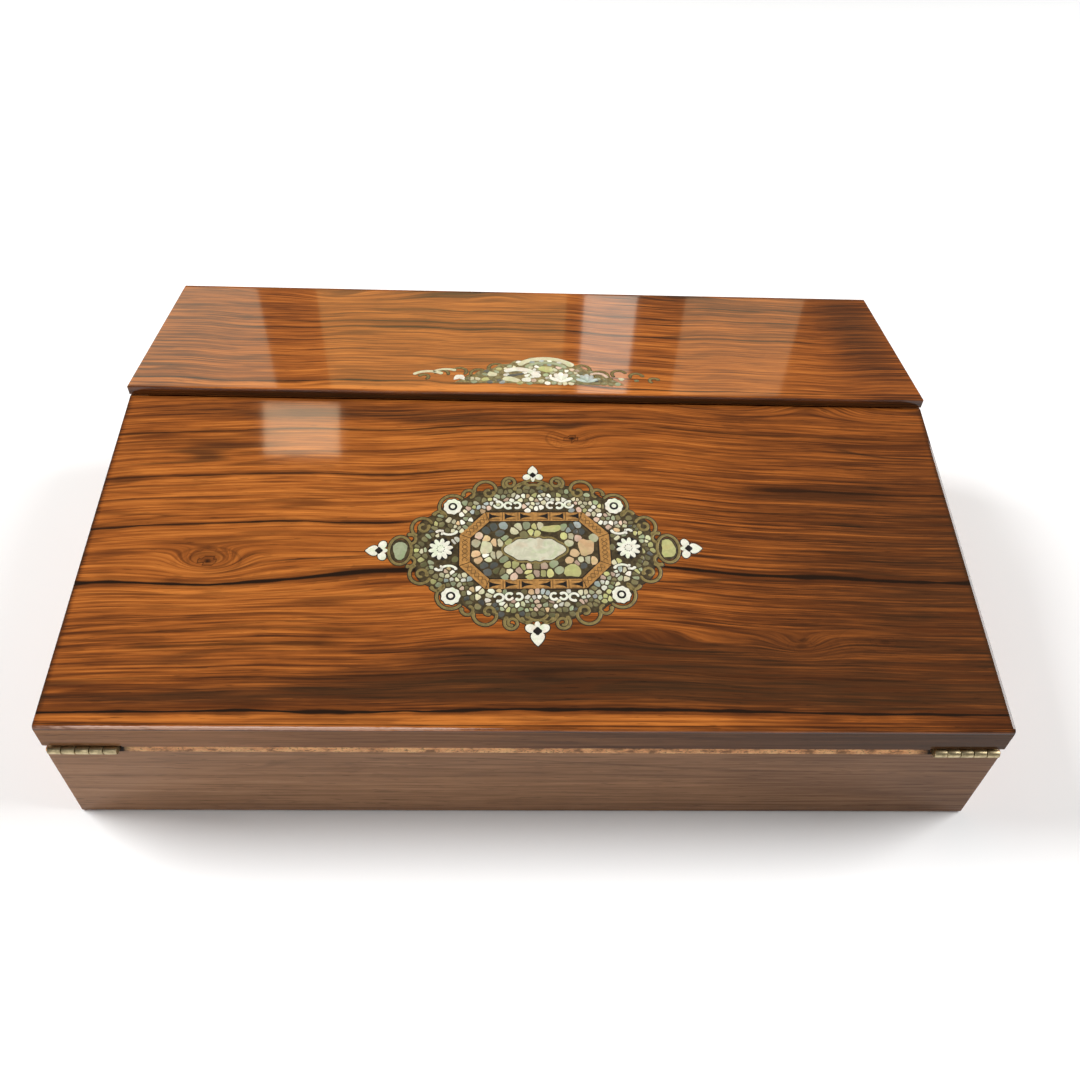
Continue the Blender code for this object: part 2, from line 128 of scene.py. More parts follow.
class Finishes(bpy.types.PropertyGroup):
    """Colours of the woods, metals and shells."""

    rosewood_light: colour("Light rosewood", (0.48, 0.152, 0.027), "The veneer's brightest bands")
    rosewood_mid: colour("Middle rosewood", (0.30, 0.084, 0.0145), "Most of the veneer")
    rosewood_dark: colour("Dark rosewood", (0.105, 0.029, 0.007), "The veneer's dark bands")
    rosewood_smoke: colour("Smoky rosewood", (0.066, 0.028, 0.010), "The veneer's greyish dark zones")
    rosewood_vein: colour("Rosewood vein", (0.016, 0.007, 0.003), "The veneer's near-black lines")
    # Painted highlight: a pale colour laid along the lid's front arris, where the polish would mirror light.
    arris: colour("Worn arris", (0.60, 0.36, 0.26), "Rubbed polish along the lid's front arris")
    # The case front's and the lid front's colours are the rosewood greyed by a painted haze, which stands in
    # for the polish mirroring the pale floor.
    case_light: colour("Light case front", (0.41, 0.216, 0.115), "The case front's brightest bands")
    case_mid: colour("Middle case front", (0.28, 0.142, 0.070), "Most of the case front")
    case_dark: colour("Dark case front", (0.135, 0.062, 0.029), "The case front's dark bands")
    brow_light: colour("Light lid front", (0.33, 0.155, 0.068), "The lid front's brightest bands")
    brow_mid: colour("Middle lid front", (0.215, 0.096, 0.040), "Most of the lid front")
    brow_dark: colour("Dark lid front", (0.090, 0.036, 0.015), "The lid front's dark bands")
    inner_wood: colour("Inner wood", (0.23, 0.095, 0.036), "Bare wood inside the box")
    raw_edge: colour("Raw edge", (0.80, 0.42, 0.20), "Worn wood along the seam")
    hinge_brass: colour("Hinge brass", (0.56, 0.46, 0.27), "Hinge leaves and knuckles")
    strap_brass: colour("Strap brass", (0.31, 0.235, 0.085), "Cut brass of the inlay")
    ground: colour("Inlay ground", (0.034, 0.024, 0.010), "Dark olive filler between the inlay's pieces")
    banding: colour("Coppery banding", (0.30, 0.150, 0.043), "Octagonal band round the inlay's field")
    pearl: colour("Pearl shell", (0.80, 0.78, 0.66), "White pieces of the inlay")
    plaque: colour("Plaque shell", (0.60, 0.575, 0.43), "Centre plaque")
    floor: colour("Floor", (0.92, 0.92, 0.92), "Stage floor")


class StageSettings(bpy.types.PropertyGroup):
    """Camera, lights and floor."""

    camera_place: bpy.props.FloatVectorProperty(
        name="Camera place", default=(-0.01073, -0.30657, 0.32776), subtype="XYZ", unit="LENGTH",
        description="Where the camera stands",
    )
    camera_turn: bpy.props.FloatVectorProperty(
        name="Camera turn", default=[math.radians(a) for a in (47.106, -1.782, -0.897)], subtype="EULER",
        description="Camera's rotation",
    )
    camera_shift: bpy.props.FloatVectorProperty(
        name="Camera shift", default=(0.0051, -0.0074), size=2, description="Shift in widths of the picture"
    )
    focal_length: bpy.props.FloatProperty(name="Focal length", default=29.23, description="In millimetres")
    floor_width: size("Floor width", 12.0, "Side of the square floor")


# ---------------------------------------------------------------------------------------------------------
# Meshes


def quads(rows, columns, close_rows=False, close_columns=False):
    """Corner numbers of the quads of a grid of points numbered row by row."""
    r = np.arange(rows if close_rows else rows - 1)[:, None]
    c = np.arange(columns if close_columns else columns - 1)[None, :]
    below, beside = (r + 1) % rows, (c + 1) % columns
    corners = [r * columns + c, r * columns + beside, below * columns + beside, below * columns + c]
    return np.stack(np.broadcast_arrays(*corners), -1).reshape(-1, 4)


def patch(points, faces=None, slot=0, **attributes):
    """A stretch of surface: a grid of points, its faces, its material slot and its values at each point."""
    points = np.asarray(points, float)
    if faces is None:
        faces = quads(*points.shape[:2])
    flat = points.reshape(-1, 3)
    values = {}
    for name, value in attributes.items():
        width = np.shape(value)[-1]
        values[name] = np.broadcast_to(value, (*points.shape[:-1], width)).reshape(-1, width)
    return {"points": flat, "faces": [list(f) for f in faces], "slot": slot, "values": values}


def make_piece(name, patches, materials, body, replaced=(), sharp=32, weld=0.0002 * MM):
    """One mesh of all the patches, welded where they meet, riding on a body in place of its CAD nodes."""
    starts = np.cumsum([0] + [len(p["points"]) for p in patches])
    points = np.concatenate([p["points"] for p in patches])
    faces = [[c + start for c in face] for p, start in zip(patches, starts) for face in p["faces"]]
    slots = np.concatenate([np.full(len(p["faces"]), p["slot"]) for p in patches])
    mesh = bpy.data.meshes.new(name)
    mesh.from_pydata(points.tolist(), [], faces)
    for material in materials:
        mesh.materials.append(material)
    mesh.polygons.foreach_set("material_index", slots.astype(np.int32))
    corners = np.concatenate([np.asarray(face) for face in faces])
    for key in patches[0]["values"]:
        values = np.concatenate([p["values"][key] for p in patches])[corners]
        kind, field = ("FLOAT_COLOR", "color") if values.shape[1] == 4 else ("FLOAT_VECTOR", "vector")
        attribute = mesh.attributes.new(key, kind, "CORNER")
        attribute.data.foreach_set(field, values.astype(np.float32).ravel())
    work = bmesh.new()
    work.from_mesh(mesh)
    bmesh.ops.remove_doubles(work, verts=work.verts, dist=weld)
    bmesh.ops.recalc_face_normals(work, faces=work.faces)
    work.to_mesh(mesh)
    work.free()
    mesh.shade_smooth()
    mesh.set_sharp_from_angle(angle=math.radians(sharp))
    piece = bpy.data.objects.new(name, mesh)
    bpy.context.scene.collection.objects.link(piece)
    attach(piece, body)
    if replaced:
        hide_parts(*replaced)
    return piece


def outline_normals(ring):
    """How far each corner of a closed outline moves for each unit that its sides move outwards."""
    side = np.roll(ring, -1, 0) - ring
    area = (ring[:, 0] * np.roll(ring[:, 1], -1) - ring[:, 1] * np.roll(ring[:, 0], -1)).sum()
    normal = np.stack([side[:, 1], -side[:, 0]], 1) * np.sign(area)
    normal /= np.linalg.norm(normal, axis=1, keepdims=True)
    before = np.roll(normal, 1, 0)
    return (before + normal) / (1 + (before * normal).sum(1, keepdims=True))


def with_rounded_ends(xs, rings, radius, keep, steps=4):
    """Stations added at both ends, where the outline turns in on a quarter circle.

    At an angle a from the end face the outline is moved in by radius * (1 - sin a), and stands
    radius * (1 - cos a) from the end. keep is 0 for the corners of the outline that don't move.
    """
    angles = np.linspace(0, math.pi / 2, steps + 1)[:-1]
    inset = radius * (1 - np.sin(angles))
    back = radius * (1 - np.cos(angles))
    low_move = outline_normals(rings[0]) * keep[:, None]
    high_move = outline_normals(rings[-1]) * keep[:, None]
    low = rings[0] - inset[:, None, None] * low_move
    high = rings[-1] - inset[::-1, None, None] * high_move
    xs = np.concatenate([xs[0] + back, [xs[0] + radius], xs[1:-1], [xs[-1] - radius], xs[-1] - back[::-1]])
    return xs, np.concatenate([low, rings, high])


def board_patches(xs, rings, segments, rounding, keep, cap_slot, cap_seed, figure=None, shading=None):
    """A board: outlines in Y and Z, one for each station along X, with rounded and closed ends.

    Each segment is (first corner, last corner, slot, seed, across at the first corner). The grain's
    coordinates are X, the distance along the outline and the seed; on the ends they are Y, Z and the seed.
    """
    xs, rings = with_rounded_ends(np.asarray(xs, float), np.asarray(rings, float), rounding, keep)
    count = rings.shape[1]
    middle = rings[len(xs) // 2]
    patches = []
    for first, last, slot, seed, start in segments:
        index = np.arange(first, last + 1) % count
        points = np.empty((len(xs), len(index), 3))
        points[..., 0] = xs[:, None]
        points[..., 1:] = rings[:, index]
        step = np.linalg.norm(np.diff(middle[index], axis=0), axis=1)
        across = np.broadcast_to(start + np.concatenate([[0], np.cumsum(step)]), points.shape[:2])
        along = points[..., 0]
        marks = np.zeros((*points.shape[:2], 3))
        strokes = np.zeros((*points.shape[:2], 3))
        if figure and seed == 0:
            across, marks, strokes = figure(along, across)
        elif shading:
            marks[..., 1] = shading(along, slot == 2)
        grain = np.stack([along, across, np.full_like(along, seed)], -1)
        patches.append(patch(points, slot=slot, grain=grain, figure=marks, strokes=strokes))
    for end in (0, -1):
        points = np.column_stack([np.full(count, xs[end]), rings[end]])
        grain = np.column_stack([rings[end], np.full(count, cap_seed)])
        blank = np.zeros((1, count, 3))
        face = [list(range(count))]
        patches.append(patch(points[None], face, cap_slot, grain=grain[None], figure=blank, strokes=blank))
    return patches


def gap_shading(x):
    """Black in the hole beside each hinge."""
    gap = HINGE_X - HINGE_LENGTH / 2 - 0.6 * MM
    return -1.2 * np.exp(-(((np.abs(x) - gap) / (0.9 * MM)) ** 4))


def falling_tone_and_shade(level, drop, start=-120 * MM, length=280 * MM):
    """A front's tone along X: even at the left and darker to the right, with black gaps on a worn edge."""

    def shading(x, worn):
        return gap_shading(x) if worn else level - drop * np.clip((x - start) / length, 0, 1)

    return shading


def arc(centre, radius, start, end, steps):
    """Points of a circle's arc from one angle to another, in radians."""
    angles = np.linspace(start, end, steps + 1)
    return np.stack([centre[0] + radius * np.cos(angles), centre[1] + radius * np.sin(angles)], -1)


# ---------------------------------------------------------------------------------------------------------
# Shape of the box


def sizes():
    """The box's sizes."""
    return bpy.context.scene.slope_sizes


def finishes():
    """The colours."""
    return bpy.context.scene.slope_finishes


def slope_angle():
    """The slope's angle, from the front arris to the flap's underside."""
    rise = FLAP_LOW[2] - sizes().front_height
    return math.atan2(rise, FLAP_FRONT_Y - FRONT_Y)


def seam_height(y):
    """Height of the seam plane, which is parallel to the slope and holds the hinges' axis."""
    return AXIS_Z + (y - FRONT_Y) * math.tan(slope_angle())


def from_hinge(out, over):
    """(Y, Z) of a point given up the seam plane from the hinges' axis, and square to that plane."""
    angle = slope_angle()
    out, over = np.asarray(out, float), np.asarray(over, float)
    y = AXIS_Y + out * math.cos(angle) - over * math.sin(angle)
    z = AXIS_Z + out * math.sin(angle) + over * math.cos(angle)
    return np.stack([y, z], -1)


def on_slope(across, up, out=0.0):
    """Points given along X, up the slope from the line of the front arris, and square to the slope."""
    angle = slope_angle()
    across, up, out = np.broadcast_arrays(across, up, out)
    y = FRONT_Y + up * math.cos(angle) - out * math.sin(angle)
    z = sizes().front_height + up * math.sin(angle) + out * math.cos(angle)
    return np.stack([across, y, z], -1)


def on_flap(across, up, out=0.0):
    """Points given along X, back from the flap's front edge, and up from its top."""
    across, up, out = np.broadcast_arrays(across, up, out)
    return np.stack([across, FLAP_FRONT_Y + up, FLAP_HIGH[2] + out], -1)


def hinge_zones():
    """Distances from the middle of the box where the mortises start and where the leaves' recesses start."""
    inner = HINGE_X - HINGE_LENGTH / 2
    mortise_play, leaf_play = 1.4 * MM, 0.3 * MM
    return inner - mortise_play, inner - leaf_play


# ---------------------------------------------------------------------------------------------------------
# The veneer's figure

# How far apart the lines lie that veins run on.
LINE_PITCH = 6 * MM
# Every number below is in millimetres, across from the middle and up from the front edge.
# How far in from its ends a vein fades.
VEIN_FADE = 12.0
# Radii of the rings round a knot's eye, in the eye's own half widths, and how dark they are next to it.
EYE_RINGS = (2.3, 3.8)
RING_STRENGTH = 0.3

SLOPE_FIGURE = {
    "straight": 40,
    # Long waves of the grain: (height, length, start in turns).
    "waves": ((8, 720, 0.22), (1.4, 170, 0.10), (0.4, 74, 0.60)),
    # Dark veins: (number of the line, from, to, strength, half width).
    "veins": (
        (1, -200, 200, 1.0, 0.55),
        (3, -200, 150, 0.4, 0.5),
        (5, -160, -70, 0.6, 0.9),
        (6, -170, -60, 0.5, 0.4),
        (10, -200, 200, 1.0, 1.1),
        (14, -200, -45, 0.9, 0.5),
        (15, 50, 170, 0.45, 0.4),
        (17, 90, 200, 0.75, 0.9),
        (18, -200, -20, 0.7, 0.5),
        (22, -200, 20, 0.7, 0.45),
        (22, 50, 200, 0.6, 0.5),
    ),
    # Where the grain swells round a knot: (across, up, half width, half height, lift).
    "knots": (
        (-130, 69, 12, 5, 9),
        (-125, 60, 42, 10, 4.5),
        (-60, 62, 22, 9, -2),
        (18, 133, 9, 5, 4),
        (50, 33, 45, 6, 5),
        (105, 34, 12, 5, 4),
        (130, 155, 24, 7, -7),
    ),
    # The knots' dark eyes and the rings round them: (across, up, half width, half height, strength).
    "eyes": (
        (-130, 69, 3.4, 1.7, 0.95),
        (18, 133, 3, 1.6, 0.9),
        (105, 34, 5, 2, 0.4),
        (138, 36, 5, 2, 0.35),
    ),
    # Lighter and darker places: (across, up, half width, half height, amount from -1 dark to 1 light).
    "tones": (
        (-150, 11, 50, 4, -0.42),
        (-30, 16, 90, 8, -0.65),
        (20, 27, 80, 11, -0.75),
        (-100, 13, 70, 4, -0.3),
        (-150, 36, 50, 9, -0.2),
        (110, 14, 90, 8, -0.45),
        # Darker towards the right end: partly painted shade for the light falling off, partly the veneer's
        # own tone.
        (180, 60, 110, 90, -0.68),
        (-110, 115, 80, 30, 0.1),
        (-60, 95, 60, 14, 0.2),
        (-130, 62, 50, 16, 0.28),
        (-20, 130, 60, 14, 0.15),
        (-20, 4, 170, 2.4, 0.65),
        (-80, 145, 110, 4, -0.7),
        (120, 105, 26, 3, -0.5),
        (-180, 77, 1.3, 90, -1.1),
        (180, 77, 1.3, 90, -1.3),
    ),
    # Dark lines along the front arris: (up, half width, strength).
    "edge_lines": ((1.6, 0.22, 0.8), (-1.0, 0.24, 0.95)),
    # Pale painted highlight on the arris, in the same five values as the tones.
    "wear": (
        (-108, 0.2, 42, 0.7, 1.0),
        (-163, 0.2, 20, 0.7, 0.55),
        (-50, 0.2, 28, 0.7, 0.6),
        (40, 0.3, 90, 0.6, 0.12),
    ),
}
FLAP_FIGURE = {
    "straight": 6,
    "waves": ((4, 900, 0.5), (2, 260, 0.3), (0.8, 90, 0.1), (0.4, 36, 0.7)),
    "veins": (
        (1, -200, 200, 0.95, 0.4),
        (9, -150, 150, 0.7, 0.7),
        (10, -130, 20, 0.7, 0.6),
        (12, -90, 150, 0.6, 0.6),
        (14, 40, 130, 0.6, 0.6),
    ),
    "knots": ((-92, 86, 26, 7, 6), (-20, 95, 40, 8, -6), (60, 100, 40, 10, -6)),
    "eyes": (),
    "tones": (
        (-40, 92, 26, 5, -0.8),
        (70, 93, 34, 5, -0.6),
        (-60, 4, 120, 4, 0.7),
        (60, 2, 60, 2.4, 0.35),
        (0, 62, 60, 7, -0.2),
        (-160, 50, 40, 60, -0.2),
        # Painted shade: the flap's right end darkened where its polish mirrors nothing bright.
        (166, 60, 20, 60, -0.62),
        (110, 80, 50, 14, -0.35),
        # Painted shade: the flap's front face, below its front edge, darkened where it faces away from the
        # light.
        (0, -3, 190, 2.4, -2.2),
    ),
}


def bells(x, y, places, power=2):
    """The sum over the places of amount * exp(-|dx / half width| ** power - |dy / half height| ** power)."""
    total = np.zeros_like(x)
    for across, up, width, height, amount in places:
        away = np.abs((x - across) / width) ** power + np.abs((y - up) / height) ** power
        total += amount * np.exp(-away)
    return total


def dark_strokes(x, y, eyes, edge_lines):
    """Distance, half width and strength of each stroke: lines along the edge, and eyes with their rings.

    In an eye's own half widths a ring has an even radius, and it is darkest below and to the left.
    """
    found = [(y - up, half, dark) for up, half, dark in edge_lines]
    for across, up, width, height, strength in eyes:
        u, v = (x - across) / width, (y - up) / height
        radius = np.hypot(u, v)
        found.append((radius * height, 0.6 * height, strength))
        for number, ring in enumerate(EYE_RINGS, 1):
            side = 0.5 - 0.5 * np.sin(np.arctan2(v, u) + 0.8 * number + across)
            found.append(((radius - ring) * height, 0.4, RING_STRENGTH * strength * side))
    return found


def figure_of(straight, waves, veins, knots, eyes, tones, edge_lines=(), wear=()):
    """A function giving the figure at points along and across a surface.

    The grain's number is the distance up, less rise * height * sin(turns) for each wave, plus a bell for
    each knot. The rise grows from 0 at the front edge to 1 where the waves are whole. A vein is marked
    where the number is near its line's. A stroke is kept as the distance to its middle in half widths.
    """

    def figure(along, up):
        x, y = along / MM, up / MM
        rise = np.clip(y / straight, 0, 1)
        number = y + bells(x, y, knots)
        for height, length, start in waves:
            number = number - rise * height * np.sin(2 * math.pi * (x / length + start))
        grain = number * MM
        nearest = np.rint(grain / LINE_PITCH)
        strength, width = np.zeros_like(grain), np.full_like(grain, 0.5)
        for line, start, end, dark, half in veins:
            fade = np.clip(np.minimum(x - start, end - x) / VEIN_FADE, 0, 1)
            here = (nearest == line) * fade * dark
            width = np.where(here > strength, half, width)
            strength = np.maximum(strength, here)
        closest = np.full_like(grain, np.inf)
        offset, weight = np.full_like(grain, 9.0), np.zeros_like(grain)
        for away, half, dark in dark_strokes(x, y, eyes, edge_lines):
            closer = np.abs(away) < closest
            closest = np.where(closer, np.abs(away), closest)
            offset = np.where(closer, away / half, offset)
            weight = np.where(closer, dark * np.clip(4 - np.abs(away) / half, 0, 1), weight)
        marks = np.stack([strength, bells(x, y, tones), width], -1)
        # The strokes' third value is the painted highlight along the arris.
        return grain, marks, np.stack([offset, weight, bells(x, y, wear, 4)], -1)

    return figure


# ---------------------------------------------------------------------------------------------------------
# Materials


class Nodes:
    """A material's node tree, built by short calls that return sockets."""

    def __init__(self, name):
        self.material = bpy.data.materials.new(name)
        self.material.use_nodes = True
        self.tree = self.material.node_tree
        self.shader = self.tree.nodes["Principled BSDF"]

    def put(self, socket, value):
        """Links a socket to a value that is a socket, or sets it."""
        if isinstance(value, bpy.types.NodeSocket):
            self.tree.links.new(value, socket)
        elif hasattr(value, "__len__"):
            wanted = len(socket.default_value)
            socket.default_value = (*value, 1.0)[:wanted]
        else:
            socket.default_value = value

    def node(self, kind, inputs=(), **settings):
        """A new node with its inputs and settings."""
        node = self.tree.nodes.new(kind)
        for key, value in settings.items():
            setattr(node, key, value)
        for key, value in dict(inputs).items():
            self.put(node.inputs[key], value)
        return node

    def math(self, operation, *values, clamp=False):
        return self.node("ShaderNodeMath", enumerate(values), operation=operation, use_clamp=clamp).outputs[0]

    def times(self, first, second):
        return self.math("MULTIPLY", first, second)

    def join(self, x=0.0, y=0.0, z=0.0):
        return self.node("ShaderNodeCombineXYZ", {"X": x, "Y": y, "Z": z}).outputs[0]

    def split(self, vector):
        return self.node("ShaderNodeSeparateXYZ", {0: vector}).outputs

    def value_of(self, name, output="Vector"):
        return self.node("ShaderNodeAttribute", attribute_name=name).outputs[output]

    def noise(self, vector, scale=1.0, detail=2.0, roughness=0.5, distortion=0.0):
        inputs = {"Vector": vector, "Scale": scale, "Detail": detail, "Roughness": roughness}
        return self.node("ShaderNodeTexNoise", {**inputs, "Distortion": distortion}).outputs["Fac"]

    def step(self, value, low, high, to_low=0.0, to_high=1.0):
        """A smooth step of value from low to high."""
        inputs = {"Value": value, "From Min": low, "From Max": high, "To Min": to_low, "To Max": to_high}
        return self.node("ShaderNodeMapRange", inputs, interpolation_type="SMOOTHSTEP").outputs[0]

    def mix(self, share, first, second, blend="MIX"):
        """Two colours mixed by a share of the second."""
        node = self.node("ShaderNodeMix", data_type="RGBA", blend_type=blend)
        self.put(node.inputs["Factor"], share)
        colours = [socket for socket in node.inputs if socket.type == "RGBA"]
        self.put(colours[0], first)
        self.put(colours[1], second)
        return [socket for socket in node.outputs if socket.type == "RGBA"][0]

    def ramp(self, value, stops):
        """A colour that follows a value: (place, colour) for each stop."""
        node = self.node("ShaderNodeValToRGB", {"Fac": value})
        elements = node.color_ramp.elements
        while len(elements) < len(stops):
            elements.new(0.5)
        for element, (place, shade) in zip(elements, stops):
            element.position = place
            element.color = (*shade, 1)
        return node.outputs["Color"]

    def bump(self, height, strength, distance):
        inputs = {"Height": height, "Strength": strength, "Distance": distance}
        return self.node("ShaderNodeBump", inputs).outputs[0]

    def finish(self, **inputs):
        """The material, with the shader's inputs set by their names."""
        for key, value in inputs.items():
            self.put(self.shader.inputs[key.replace("_", " ").title().replace("Ior", "IOR")], value)
        return self.material


class Veneer(Nodes):
    """Nodes of a veneer that follow the grain and figure stored on the mesh, with its main noises made."""

    def __init__(self, name):
        super().__init__(name)
        self.along, self.across, seed = self.split(self.value_of("grain"))
        self.strength, self.tone, self.width = self.split(self.value_of("figure"))
        self.place = self.times(seed, 7.3)
        self.sway = self.swing(self.across, 6, 24, 5.0, detail=1.0)
        self.ripple = self.swing(self.across, 26, 95, 0.0, detail=3.0, roughness=0.6)
        self.line = self.total(self.across, (self.sway, 0.0013), (self.ripple, 0.0004))
        self.zones = self.swing(self.line, 7.0, 75, 1.0, detail=2.0)
        self.streaks = self.swing(self.line, 11, 560, 2.0, detail=2.0, roughness=0.6)
        self.fine = self.swing(self.line, 26, 1300, 3.0, detail=3.0, roughness=0.65)
        self.mottle = self.swing(self.across, 60, 110, 6.0, detail=3.0)

    def stretched(self, source, lengthwise, crosswise, offset, **settings):
        """Noise with so many cells to the metre along the grain and across it."""
        vector = self.join(
            self.times(self.along, lengthwise),
            self.times(source, crosswise),
            self.math("ADD", self.place, offset),
        )
        return self.noise(vector, **settings)

    def swing(self, *place, **settings):
        """The same noise, less its middle value."""
        return self.math("SUBTRACT", self.stretched(*place, **settings), 0.5)

    def total(self, first, *terms):
        """A value plus each term's own value times its weight."""
        for value, weight in terms:
            first = self.math("ADD", first, self.times(value, weight))
        return first


def with_stray_veins(n, wood, dark, amount):
    """Thin stray veins, and reddish lines closer together, where a slow noise lets them through."""
    # Each kind: (cells to the metre across and along, half width, strength, colour).
    for crosswise, lengthwise, half, strength, shade in (
        (60, 3.6, 0.016, 0.70, [2.0 * c for c in finishes().rosewood_vein]),
        (150, 6.0, 0.040, 0.55, [0.75 * c for c in dark]),
        (330, 12.0, 0.080, 0.45, [0.9 * c for c in dark]),
    ):
        crossing = n.math("ABSOLUTE", n.swing(n.line, lengthwise, crosswise, 8.0, detail=1.0))
        stray = n.step(crossing, half, 0.15 * half)
        patchy = n.stretched(n.across, 2.5 * lengthwise, 0.7 * crosswise, 9.0, detail=1.0)
        present = n.step(patchy, 0.47, 0.60, 0.0, strength * amount)
        wood = n.mix(n.times(stray, present), wood, shade)
    return wood


def with_marked_veins(n, wood, dark):
    """Dark veins with a soft halo, on the lines that the figure marks."""
    ragged_line = n.total(n.across, (n.sway, 0.0013), (n.ripple, 0.0022))
    turns = n.math("DIVIDE", ragged_line, LINE_PITCH)
    off = n.math("ABSOLUTE", n.math("SUBTRACT", turns, n.math("ROUND", turns)))
    half = n.times(n.width, n.step(n.stretched(n.across, 34, 8, 10.0, detail=2.0), 0.3, 0.7, 0.10, 0.32))
    share = n.math("DIVIDE", off, half)
    vein = n.times(n.step(share, 1.0, 0.35), n.strength)
    halo = n.times(n.step(share, 3.4, 0.8, 0.0, 0.5), n.strength)
    wood = n.mix(halo, wood, [0.7 * c for c in dark])
    return n.mix(vein, wood, finishes().rosewood_vein)


def with_strokes(n, wood, dark):
    """Dark strokes with soft edges, and pale wear along the arris."""
    shades = finishes()
    offset, weight, wear = n.split(n.value_of("strokes"))
    ragged = n.math("ADD", n.math("ABSOLUTE", offset), n.times(n.mottle, 1.6))
    wood = n.mix(n.times(n.step(ragged, 3.2, 0.8, 0.0, 0.45), weight), wood, dark)
    wood = n.mix(n.times(n.step(ragged, 1.1, 0.45), weight), wood, shades.rosewood_vein)
    specks = n.swing(n.across, 260, 900, 11.0, detail=2.0)
    # Painted highlight: pale along the arris where the polish would mirror light, broken by specks.
    arris_highlight_share = n.step(n.total(wear, (n.mottle, 0.2), (specks, 0.8)), 0.15, 0.75, 0.0, 0.85)
    return n.mix(n.times(arris_highlight_share, n.step(wear, 0.02, 0.2)), wood, shades.arris)


def veneer(name, light, middle, dark, contrast=1.0, level=0.50, veins=1.0, polish=1.0):
    """Polished rosewood.

    Zones, streaks, fine lines and pores are noise stretched along the grain, added up into one level that
    a ramp turns into colour. Dark veins run where the grain's number is a multiple of the line pitch and
    the figure marks them, and stray ones where a slow noise passes 0.5.
    """
    shades = finishes()
    n = Veneer(name)
    weights = ((n.zones, 0.22), (n.streaks, 0.82), (n.fine, 1.1), (n.mottle, 0.16))
    # The figure's tone is partly the veneer's own lighter and darker places and partly painted shade, which
    # this level and the smoky mix below both carry.
    level = n.total(level, *((value, weight * contrast) for value, weight in weights), (n.tone, 0.42))
    palest = [min(1.0, 1.25 * c) for c in light]
    stops = ((0.00, shades.rosewood_vein), (0.24, dark), (0.50, middle), (0.74, light), (1.00, palest))
    wood = n.ramp(level, stops)
    wood = n.mix(n.step(n.tone, -0.15, -1.0, 0.0, 0.6), wood, shades.rosewood_smoke)
    wood = with_stray_veins(n, wood, dark, veins)
    wood = with_marked_veins(n, wood, dark)
    wood = with_strokes(n, wood, dark)
    pores = n.step(n.stretched(n.line, 110, 2200, 7.0, detail=1.0), 0.66, 0.73)
    wood = n.mix(n.times(pores, 0.5), wood, shades.rosewood_vein)
    relief = n.total(0.0, (pores, -0.5), (n.mottle, 0.8), (n.streaks, 0.3))
    return n.finish(
        base_color=wood,
        roughness=n.step(n.streaks, -0.15, 0.15, 0.5, 0.4),
        specular_ior_level=0.0,
        coat_weight=polish,
        coat_roughness=0.055,
        normal=n.bump(relief, 0.10, 0.12 * MM),
    )


def bare_wood(name):
    """Plain wood inside the box: faint bands along the grain and open pores."""
    shades = finishes()
    n = Nodes(name)
    along, across, seed = n.split(n.value_of("grain"))
    place = n.times(seed, 3.1)
    bands = n.noise(n.join(n.times(along, 4), n.times(across, 160), place), detail=3)
    pores = n.noise(n.join(n.times(along, 60), n.times(across, 2200), place), detail=2)
    base = shades.inner_wood
    wood = n.ramp(bands, ((0.3, [0.62 * c for c in base]), (0.5, base), (0.72, [1.3 * c for c in base])))
    wood = n.mix(n.step(pores, 0.55, 0.68, 0.0, 0.55), wood, [0.35 * c for c in base])
    return n.finish(base_color=wood, roughness=0.55, normal=n.bump(pores, 0.2, 0.1 * MM))


def worn_edge(name):
    """Wood rubbed bare along the seam, with pale chips and dark specks, grimed where the figure is dark."""
    shades = finishes()
    n = Nodes(name)
    place = n.node("ShaderNodeTexCoord").outputs["Object"]
    tone = n.split(n.value_of("figure"))[1]
    drawn = n.node("ShaderNodeVectorMath", {0: place, 1: (0.35, 1, 1)}, operation="MULTIPLY").outputs[0]
    coarse = n.noise(drawn, 420, detail=3, roughness=0.65)
    specks = n.noise(drawn, 2400, detail=2, roughness=0.7)
    base = shades.raw_edge
    pale = [min(1, 1.45 * c) for c in base]
    wood = n.ramp(coarse, ((0.36, [0.40 * c for c in base]), (0.48, base), (0.62, pale)))
    wood = n.mix(n.step(specks, 0.52, 0.66, 0.0, 0.75), wood, [0.20 * c for c in base])
    # Painted shade: black where the figure's tone marks the holes beside the hinges.
    wood = n.mix(n.step(tone, -0.1, -0.8), wood, shades.rosewood_vein)
    return n.finish(base_color=wood, roughness=0.6, normal=n.bump(specks, 0.5, 0.25 * MM))


def aged_metal(name, base, grime, roughness, scale, grime_share=0.5, metallic=1.0):
    """Brass dulled by handling, with dark grime in soft patches."""
    n = Nodes(name)
    place = n.node("ShaderNodeTexCoord").outputs["Object"]
    patches = n.noise(place, scale, detail=4, roughness=0.6)
    scratches = n.noise(place, scale * 7, detail=2)
    metal = n.mix(n.step(patches, 0.40, 0.66, 0.0, grime_share), base, grime)
    metal = n.mix(n.step(scratches, 0.6, 0.75, 0.0, 0.35), metal, [min(1, 1.5 * c) for c in base])
    return n.finish(
        base_color=metal,
        metallic=metallic,
        roughness=n.step(patches, 0.35, 0.7, roughness, roughness + 0.22),
        normal=n.bump(scratches, 0.15, 0.08 * MM),
    )


